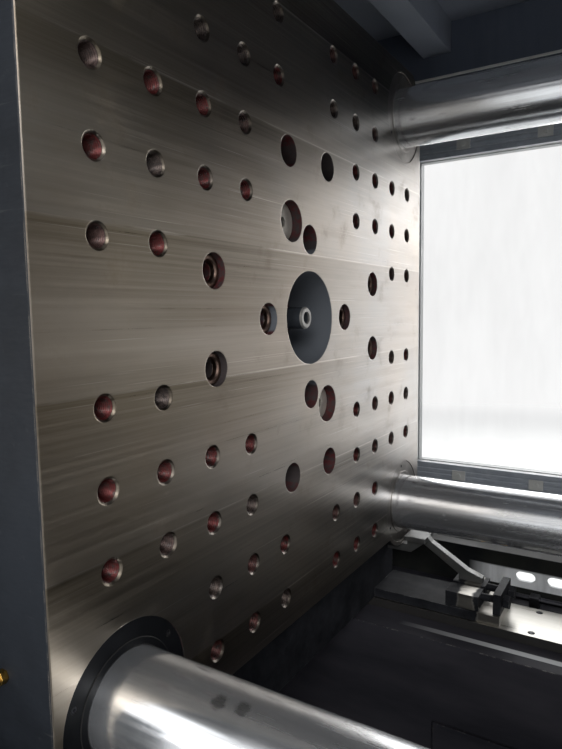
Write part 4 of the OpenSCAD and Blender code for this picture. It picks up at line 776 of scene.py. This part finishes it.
def passage_bushes():
    """Threaded bushes that sit in the stepped ejector passages."""
    mesh = Mesh()
    profile = [(11.2, -14), (11.2, -8.5), (12.8, -7), (16, -7), (17.6, -8.4), (18.2, -8.4),
               (18.2, -14), (11.2, -14)]
    mesh.turned(profile, [(X_MOV, y, z) for y, z in PASSAGES], (1, 0, 0), 40)
    mesh.done("passage_bushes", "bush_steel", "clamp")


def ejector_fixings():
    """Screws of the ejector housing's sides and windows, and of the ram's flange."""
    low, high = corners("ejector_housing")
    flange_x = corners("clamp_ram")[1].x - 0.04
    mesh = Mesh()
    mesh.screws("socket", 20, (-1, 0, 0), circle(flange_x, 0, AXIS_Z, 0.193, 12, 0.26))
    for sign in (-1, 1):
        mesh.screws("socket", 12, (0, sign, 0), product(
            spread(low.x + 0.075, high.x - 0.03, 3), [sign * high.y],
            (AXIS_Z - 0.16, AXIS_Z + 0.16)))
        mesh.screws("socket", 12, (0, 0, sign), product(
            [low.x + 0.02], (-0.12, 0, 0.12), [AXIS_Z + sign * high.y]))
    mesh.done("ejector_housing_screws", "black_oxide", "clamp")


def cylinder_fixings():
    """Bolt circles of the clamp cylinder and its gland, and pipe ports on its cap."""
    low, high = corners("main_cylinder")
    flange_x = corners("cylinder_platen")[1].x + 0.04
    mesh = Mesh()
    mesh.screws("hex", 20, (1, 0, 0), circle(flange_x, 0, AXIS_Z, 0.248, 16, 0.1))
    mesh.screws("socket", 14, (1, 0, 0), circle(high.x, 0, AXIS_Z, 0.207, 12, 0.1))
    mesh.done("clamp_cylinder_bolts", "black_oxide")
    ports = Mesh()
    profile = [(0, -40), (32, -40), (32, 12), (28, 18), (22, 18), (22, 34), (14, 36),
               (0, 36)]
    for out in ((0, 0, 0.12), (0, -0.09, 0.08), (0, 0.09, 0.08)):
        y, z = [0.12 * v / hypot(*out) for v in out[1:]]
        ports.turned(profile, [(low.x + 0.055, y, AXIS_Z + z)], out, 28, (4, 5))
    ports.done("clamp_valve_ports", "zinc")


def nut_screws():
    """Clamping screws of the tie bar nuts."""
    low, high = corners("tie_bar_nuts")
    mesh = Mesh()
    for (y, z), (x, out) in product(TIE_PLACES, ((high.x, 1), (low.x, -1))):
        mesh.screws("socket", 10, (out, 0, 0), circle(x, y, z, 0.061, 6, pi / 6))
    mesh.done("tie_nut_screws", "black_oxide")


def panel_latches():
    """Quarter-turn latches of the service panels of both bases."""
    low, high = corners("clamp_base")
    chute_low, chute_high = corners("product_chute")
    inj_low, inj_high = corners("injection_base")
    mesh = Mesh()
    profile = [(0, 0), (17, 0), (17, 2.5), (13.5, 4), (11.5, 4), (10.5, 1.5), (4, 1.5),
               (4, 5.2), (0, 5.2)]
    half = (chute_low.x - 0.07 - low.x) / 2
    panels = [(low.x + 0.04, low.x + half), (low.x + 0.04 + half, low.x + 2 * half),
              (chute_high.x + 0.07, high.x - 0.06)]
    over_chute = [(chute_low.x, chute_high.x)]
    bay = (inj_high.x - inj_low.x - 0.1) / 3
    bays = [(inj_low.x + 0.07 + i * bay, inj_low.x + 0.03 + (i + 1) * bay)
            for i in range(3)]
    low_z, inj_z = (0.195, 0.5), (0.205, 0.61)
    for sign, y, heights, fields in (
            (-1, high.y, low_z, panels), (1, high.y, low_z, panels + over_chute),
            (-1, inj_high.y, inj_z, bays), (1, inj_high.y, inj_z, bays)):
        for x0, x1 in fields:
            mesh.turned(profile, product((x0 + 0.05, x1 - 0.05), [sign * y], heights),
                        (0, sign, 0), 24)
    mesh.done("panel_latches", "black_plastic")


def chute_trim():
    """Trim with screws round the chute's mouth."""
    y = corners("clamp_base")[0].y
    low, high = corners("product_chute")
    edge_strip = Mesh()
    x0, x1, z0, z1, width = low.x - 0.01, high.x + 0.01, 0.19, 0.555, 0.018
    edge_strip.border((x0, x1), (y - 0.0025, y + 0.001), (z0, z1), width, 0.001, tall=True)
    edge_strip.screws("button", 5, (0, -1, 0), product(
        spread(x0, x1, 6, 0.06), [y - 0.0025], (z0 - width / 2, z1 + width / 2)))
    edge_strip.done("chute_mouth_trim", "bright_steel")


def hood_parts():
    """Joint strips, screws and lifting eyes of the hood and the roof."""
    low, high = corners("clamp_hood")
    top_low, top_high = corners("top_cover")
    strips, screws, eyes = Mesh(), Mesh(), Mesh()
    thick = 0.0022
    joints = [low.x + (high.x - low.x) * k / 3 for k in (1, 2)] + [high.x]
    for x in joints:
        for sign in (-1, 1):
            strips.box((x - 0.014, sign * high.y, low.z + 0.004),
                       (x + 0.014, sign * (high.y + thick), high.z), 0.0008)
        strips.box((x - 0.014, low.y, high.z), (x + 0.014, high.y, high.z + thick), 0.0008)
    strips.done("hood_joint_strips", "light_paint")
    along = spread(low.x, high.x, 14, 0.06)
    for sign in (-1, 1):
        screws.screws("button", 6, (0, sign, 0), [
            *product(joints, [sign * (high.y + thick)], spread(low.z, high.z, 7, 0.06)),
            *product(along, [sign * high.y], [low.z + 0.03])])
        screws.screws("button", 6, (0, 0, 1), [
            *product(along, [sign * (high.y - 0.05)], [high.z]),
            *product(spread(top_low.x, top_high.x, 9, 0.06), [sign * (high.y - 0.04)],
                     [top_high.z])])
    screws.done("hood_screws", "zinc")
    collar = [(0, 0), (24, 0), (24, 8), (16, 12), (12, 20), (0, 20)]
    turns = [2 * pi * k / 24 for k in range(25)]
    for x, y in product((low.x + 0.3, high.x - 0.2, top_high.x - 0.25), (-0.42, 0.42)):
        eyes.turned(collar, [(x, y, high.z)], (0, 0, 1), 28)
        eyes.tube([(x + 0.026 * cos(a), y, high.z + 0.042 + 0.026 * sin(a))
                   for a in turns], 0.007)
    eyes.done("lifting_eyes", "zinc")


def frame_parts():
    """Seals along the door openings, the one under the header also painted shade, a white
    strip as a painted highlight on the header's edge, and screws in the gate frames.
    """
    seals_and_shade, screws, edge_strip = Mesh(), Mesh(), Mesh()
    (x0, x1), (z0, z1) = OPENING_X, OPENING_Z
    thick = 0.003
    for sign, side in ((-1, "front"), (1, "rear")):
        low, high = corners(side + "_gate_frame")
        outer = high.y if sign > 0 else -low.y
        inner = outer - 0.04
        y0, y1 = sign * (inner + 0.004), sign * (outer - 0.004)
        # The black rubber under the header is painted shade on its underside
        seals_and_shade.box((x0, y0, z1 - thick), (x1, y1, z1), 0.0008)
        for a, b in ((x0, x0 + thick), (x1 - thick, x1)):
            seals_and_shade.box((a, y0, z0 + thick), (b, y1, z1 - thick), 0.0008)
        # Painted highlight: a white strip along the header's edge
        edge_strip.box((x0, sign * (inner - 0.0025), z1), (x1, sign * inner, z1 + 0.0055),
                 0.0006)
        screws.screws("button", 6, (0, -sign, 0), product(
            (x0 - 0.03, x1 + 0.03), [sign * inner], spread(z0 + 0.12, z1 - 0.06, 6)))
    low, high = corners("front_gate_frame")
    screws.screws("button", 6, (0, -1, 0), product(
        [high.x - 0.016], [low.y], spread(low.z, high.z, 8, 0.06)))
    edge_strip.done("header_highlight_strip", "white_plastic")
    seals_and_shade.done("opening_seals_and_shade", "rubber")
    screws.done("gate_frame_screws", "black_oxide")


def track_stops():
    """End stops and fixing screws of the door tracks."""
    low, high = corners("door_tracks")
    stops, screws = Mesh(), Mesh()
    for sign in (-1, 1):
        for z0, z1 in ((high.z - 0.03, high.z + 0.012), (low.z, low.z + 0.016)):
            stops.box((low.x - 0.012, sign * (high.y - 0.012), z0),
                      (low.x, sign * high.y, z1), 0.0015)
        screws.screws("button", 4, (0, sign, 0), product(
            spread(low.x, high.x, 16, 0.04), [sign * high.y], [low.z + 0.006]))
    stops.done("track_end_stops", "rubber")
    screws.done("track_screws", "zinc")


def door_parts(side, sign, body):
    """Window gaskets, corner screws, hanger bolts and handle caps of one door."""
    low, high = corners(side + "_door")
    pane_low, pane_high = corners(side + "_door_window")
    grip_low, grip_high = corners(side + "_door_handle")
    out = (0, sign, 0)
    outer = high.y if sign > 0 else low.y
    inner = outer - sign * 0.036
    rebate, thick = 0.018, 0.0016
    z1 = pane_high.z - rebate
    gasket = Mesh()
    for face, away in [(outer, sign)] + ([(inner, -sign)] if sign < 0 else []):
        gasket.border(
            (pane_low.x + rebate, pane_high.x - rebate), (face, face + away * thick),
            (pane_low.z + rebate, z1), 0.011, 0.0006)
    gasket.done(side + "_window_gasket", "rubber", body)

    screws = Mesh()
    screws.screws("button", 6, out, [
        *product((low.x + 0.03, high.x - 0.03), [outer],
                 spread(low.z + 0.05, z1 + 0.1, 7)),
        *product(spread(low.x, high.x, 7, 0.12), [outer], (low.z + 0.04, z1 + 0.05))])
    hangers = [x + dx for x in (low.x + 0.12, high.x - 0.22) for dx in (0.025, 0.075)]
    screws.screws("hex", 8, out, product(
        hangers, [inner + sign * 0.014], [high.z - 0.032]))
    screws.done(side + "_door_screws", "zinc", body)

    caps = Mesh()
    x = (grip_low.x + grip_high.x) / 2
    y = grip_high.y - 0.012 if sign > 0 else grip_low.y + 0.012
    caps.turned([(9.2, 0), (19, 0), (19, 4), (15.5, 7), (9.2, 7)],
                product([x], [outer], (grip_low.z + 0.02, grip_high.z - 0.02)), out, 28)
    for z, up in ((grip_low.z, -1), (grip_high.z, 1)):
        caps.turned([(0, 0), (12, 0), (10.5, 3), (6, 5), (0, 5.5)],
                    [(x, y, z)], (0, 0, up), 24)
    caps.done(side + "_handle_caps", "black_plastic", body)


def panel_parts():
    """Screen bezel, key field, switches and the yellow collar of the stop button."""
    low = corners("control_panel")[0]
    screen_low, screen_high = corners("display_screen")
    stop_low, stop_high = corners("emergency_stop")
    face = screen_low.y - 0.001
    bezel = Mesh()
    bezel.border((screen_low.x, screen_high.x), (face - 0.004, face + 0.001),
                 (screen_low.z, screen_high.z), 0.014, 0.0015)
    bezel.done("screen_bezel", "black_plastic")

    keys = {colour: Mesh() for colour in ("white", "grey", "green")}
    plate = Mesh()
    key_x, key_z, pitch, size = low.x + 0.022, low.z + 0.055, 0.026, 0.019
    rows, columns = 4, 5
    plate.box(
        (key_x - 0.008, low.y - 0.0012, key_z - 0.008),
        (key_x + columns * pitch + 0.002, low.y + 0.001, key_z + rows * pitch + 0.002),
        0.0005)
    plate.done("key_field", "black_plastic")
    for row, column in product(range(rows), range(columns)):
        colour = "grey" if (row + column) % 3 else "white"
        if row == 0 and column == columns - 1:
            colour = "green"
        x, z = key_x + column * pitch, key_z + row * pitch
        keys[colour].box((x, low.y - 0.0042, z), (x + size, low.y - 0.001, z + size),
                         0.0012, 2)
    for colour, mesh in keys.items():
        mesh.done("keys_" + colour, colour + "_plastic")

    x = (stop_low.x + stop_high.x) / 2
    z = (stop_low.z + stop_high.z) / 2
    collar, switches = Mesh(), Mesh()
    collar.turned([(12.5, 0), (29, 0), (30, 1.2), (29, 2.4), (24, 2.4), (23.2, 0.7),
                   (12.5, 0.7)], [(x, low.y, z)], (0, -1, 0), 40)
    collar.done("stop_collar", "orange_plastic")
    for x in (x - 0.014, x + 0.034):
        switches.turned([(0, 0), (14, 0), (14, 3), (10.5, 4.5), (10.5, 10), (9, 11.5),
                         (0, 11.5)], [(x, low.y, z - 0.062)], (0, -1, 0))
        switches.box((x - 0.0022, low.y - 0.0145, z - 0.072),
                     (x + 0.0022, low.y - 0.011, z - 0.052), 0.0008)
    switches.done("selector_switches", "black_plastic")


def base_screws():
    """Screws of the slide ways, the splash plates and the carriage rails."""
    ways, plates, rails = Mesh(), Mesh(), Mesh()
    low, high = corners("slide_ways")
    ways.flush_screws(5.5, 2.4, 0.15, product(
        spread(low.x, high.x, 10, 0.05), (-0.363, -0.287, 0.287, 0.363), [high.z]))
    ways.done("way_screws", "black_oxide")
    low, high = corners("splash_plates")
    for sign in (-1, 1):
        plates.screws("button", 5, (0, sign, 0), product(
            spread(low.x, high.x, 12, 0.04), [sign * 0.462], [0.727]))
    plates.done("splash_plate_screws", "zinc")
    low, high = corners("carriage_rails")
    rails.flush_screws(8.5, 4.2, 0.18, product(
        spread(low.x, high.x, 18, 0.06), (-RAIL_Y, RAIL_Y), [high.z]))
    rails.done("rail_screws", "black_oxide")


def injection_parts():
    """Fixings of the carriage, barrel, bands, cylinders and motor."""
    hub_x = corners("carriage_housing")[0].x + 0.03
    band_low, band_high = corners("heater_bands")
    shot_low, shot_high = corners("injection_cylinders")
    pull_low, pull_high = corners("carriage_cylinders")
    cover_low, cover_high = corners("barrel_cover")
    motor_low, motor_high = corners("screw_motor")
    hub, lugs, ports, motor = Mesh(), Mesh(), Mesh(), Mesh()
    hub.screws("socket", 18, (-1, 0, 0), circle(hub_x, 0, AXIS_Z, 0.105, 8, pi / 8))
    hub.screws("hex", 10, (0, 0, 1), [(X_THROAT + a, b, AXIS_Z + 0.274)
                                      for _, a, b in circle(0, 0, 0, 0.083, 6)])
    for sign in (-1, 1):
        hub.screws("hex", 11, (1, 0, 0), circle(
            shot_high.x, sign * SHOT_Y, AXIS_Z, 0.064, 6, pi / 6))
        hub.screws("button", 5, (0, sign, 0), product(
            spread(cover_low.x, cover_high.x, 8, 0.04), [sign * cover_high.y],
            [cover_low.z + 0.012]))
    hub.done("carriage_bolts", "black_oxide", "carriage")

    bands = 5
    pitch = (band_high.x - band_low.x + 0.018) / bands
    for i, along in product(range(bands), (0.02, 0.125)):
        x = band_low.x + i * pitch + along
        for sign in (-1, 1):
            lugs.box((x, sign * 0.0035, AXIS_Z + 0.0805),
                     (x + 0.018, sign * 0.010, AXIS_Z + 0.097), 0.001)
        lugs.screws("socket", 5, (0, -1, 0), [(x + 0.009, -0.010, AXIS_Z + 0.089)])
    lugs.done("band_clamps", "zinc", "carriage")

    stub = [(0, -10), (24, -10), (24, 14), (17, 17), (17, 28), (11, 30), (0, 30)]
    ports.turned(stub, product((shot_low.x + 0.05, shot_high.x - 0.085),
                               (-SHOT_Y, SHOT_Y), [AXIS_Z + 0.075]),
                 (0, 0, 1), 24, (3, 4))
    for sign in (-1, 1):
        ports.turned(stub, product((pull_low.x + 0.06, pull_high.x - 0.05),
                                   [sign * 1.26 * PULL_Y], [AXIS_Z - PULL_DROP]),
                     (0, sign, 0), 24, (3, 4))
    ports.done("cylinder_ports", "zinc", "carriage")

    motor.screws("socket", 14, (1, 0, 0), circle(motor_low.x, 0, AXIS_Z, 0.134, 10, 0.3))
    motor.screws("socket", 10, (1, 0, 0), circle(motor_high.x, 0, AXIS_Z, 0.085, 8, 0.2))
    motor.turned([(0, 0), (46, 0), (46, 6), (40, 12), (20, 12), (20, 30), (0, 30)],
                 product([corners("crossbeam")[1].x - 0.03], (-SHOT_Y, SHOT_Y), [AXIS_Z]),
                 (1, 0, 0), 24, (3, 4, 5))
    motor.turned([(0, 0), (19, 0), (19, 10), (13, 13), (0, 13)],
                 product([motor_high.x - 0.12], (-0.03, 0.03), [motor_high.z]),
                 (0, 0, 1), 24, (1, 2))
    motor.done("motor_bolts", "black_oxide", "injection")


def wall_plate(mesh, thick, a0, a1, z0, z1, steps=16):
    """A curved plate on the hopper's wall between two angles and two heights."""
    near, far = HOPPER_R - 0.001, HOPPER_R + thick
    mesh.skin([[mesh.bm.verts.new((X_THROAT + r * cos(a), r * sin(a), z))
                for r, z in ((near, z0), (far, z0), (far, z1), (near, z1))]
               for a in spread(a0, a1, steps + 1)])


def hopper_parts():
    """Rim bead and seam band of the hopper, and a framed sight glass in its wall."""
    rim_z = corners("hopper")[0].z + 0.604
    bands, glass, border = Mesh(), Mesh(), Mesh()
    for z0, z1, out in ((-24, -10, 5), (-334, -322, 3)):
        near, far = 1000 * HOPPER_R - 1, 1000 * HOPPER_R + out
        bands.turned([(near, z0), (far, z0 + 2), (far, z1 - 2), (near, z1)],
                     [(X_THROAT, 0, rim_z)], (0, 0, 1), 96)
    bands.done("hopper_bands", "bright_steel", "carriage")
    low, high, height = rim_z - 0.26, rim_z - 0.08, 0.012
    left, right, width = -pi / 2 - 0.12, -pi / 2 + 0.12, 0.04
    wall_plate(glass, 0.0015, left, right, low, high)
    glass.done("hopper_sight_glass", "sight_glass", "carriage")
    thick = 0.004
    for z in (low - height, high):
        wall_plate(border, thick, left - width, right + width, z, z + height)
    for a in (left - width, right):
        wall_plate(border, thick, a, a + width, low, high, 4)
    for a in (left - width / 2, right + width / 2):
        out = Vector((cos(a), sin(a), 0))
        x, y, _ = out * (HOPPER_R + thick)
        border.screws("button", 4, out, product(
            [X_THROAT + x], [y], spread(low - height / 2, high + height / 2, 4)))
    border.done("hopper_glass_frame", "zinc", "carriage")


def purge_guard_parts():
    """Handle of the purge guard."""
    x, z = corners("purge_guard")[1].x, AXIS_Z + 0.02
    mesh = Mesh()
    mesh.tube([(x + dx, y, z) for dx, y in (
        (-0.002, -0.06), (0.022, -0.06), (0.030, -0.052), (0.030, 0.052), (0.022, 0.06),
        (-0.002, 0.06))], 0.006)
    mesh.done("purge_guard_handle", "zinc", "purge_guard")


def carriage_rod_screws():
    """Screws of the carriage rods' feet on the stationary platen."""
    x = corners("carriage_rods")[0].x + 0.024
    mesh = Mesh()
    for y in (-PULL_Y, PULL_Y):
        mesh.screws("socket", 8, (1, 0, 0), circle(
            x, y, AXIS_Z - PULL_DROP, 0.0315, 4, pi / 4))
    mesh.done("carriage_rod_screws", "black_oxide")


def pipe_unions():
    """Unions at the ends of the grease pipes."""
    low = corners("grease_pipes")[0]
    mesh = Mesh()
    mesh.turned([(5.2, 0), (8.5, 0), (8.5, 12), (5.2, 12)],
                product([low.x - 0.0005], (-PIPE_Y, PIPE_Y), [low.z + 0.017]),
                (1, 0, 0), 24, (1, 2))
    mesh.done("pipe_unions", "brass")


hole_threads("moving_hole_threads", "clamp", X_MOV, 1)
hole_threads("stationary_hole_threads", "machine", X_FIX, -1)
for make in (wiper_screws, passage_bushes, ejector_fixings, cylinder_fixings, nut_screws,
             panel_latches, chute_trim, hood_parts, frame_parts, track_stops):
    make()
door_parts("front", -1, "front_gate")
door_parts("rear", 1, "rear_gate")
for make in (panel_parts, base_screws, injection_parts, hopper_parts, purge_guard_parts,
             carriage_rod_screws, pipe_unions):
    make()

# Stage


def make_stage():
    mesh = bpy.data.meshes.new("floor")
    half = 40.0
    mesh.from_pydata([(-half, -half, 0), (half, -half, 0), (half, half, 0),
                      (-half, half, 0)], [], [(0, 1, 2, 3)])
    mesh.materials.append(stage_floor(Surface("floor")))
    floor = show("floor", mesh)


def area_light(name, at, target, size, power):
    data = bpy.data.lights.new(name, "AREA")
    data.shape = "RECTANGLE"
    data.size, data.size_y = size
    data.energy = power
    lamp = show(name, data)
    lamp.location = at
    lamp.rotation_mode = "QUATERNION"
    lamp.rotation_quaternion = (Vector(at) - Vector(target)).to_track_quat("Z", "Y")
    lamp.visible_camera = False


def make_world():
    """Soft daylight, with white where the camera sees it."""
    world = bpy.data.worlds.new("world")
    scene.world = world
    world.use_nodes = True
    nodes = Nodes(world.node_tree)
    soft = nodes.add("Background", {0: (0.93, 0.96, 1, 1), 1: 0.55})
    white = nodes.add("Background", {0: (1, 1, 1, 1)})
    mix = nodes.add("MixShader", {
        0: nodes.seen(), 1: soft.outputs[0], 2: white.outputs[0]})
    nodes.add("OutputWorld", {"Surface": mix.outputs[0]})


make_stage()
make_world()
area_light("key", (2.6, -5.5, 4.6), (-0.3, 0, 1.0), (4.0, 3.0), 300)
area_light("fill", (-4.5, -4.5, 3.2), (-0.5, 0, 1.0), (4.0, 3.0), 200)
area_light("rear", (-1.5, 5.5, 3.4), (-0.5, 0, 1.1), (5.0, 3.0), 235)
area_light("window", (-0.2, 4.0, 1.15), (-0.2, 0, 1.15), (2.2, 2.0), 32)
area_light("bar_card", (-1.22, -0.655, 1.18), (-1.22, 0, 1.18), (0.22, 0.28), 0.42)

scene.view_settings.view_transform = "Standard"
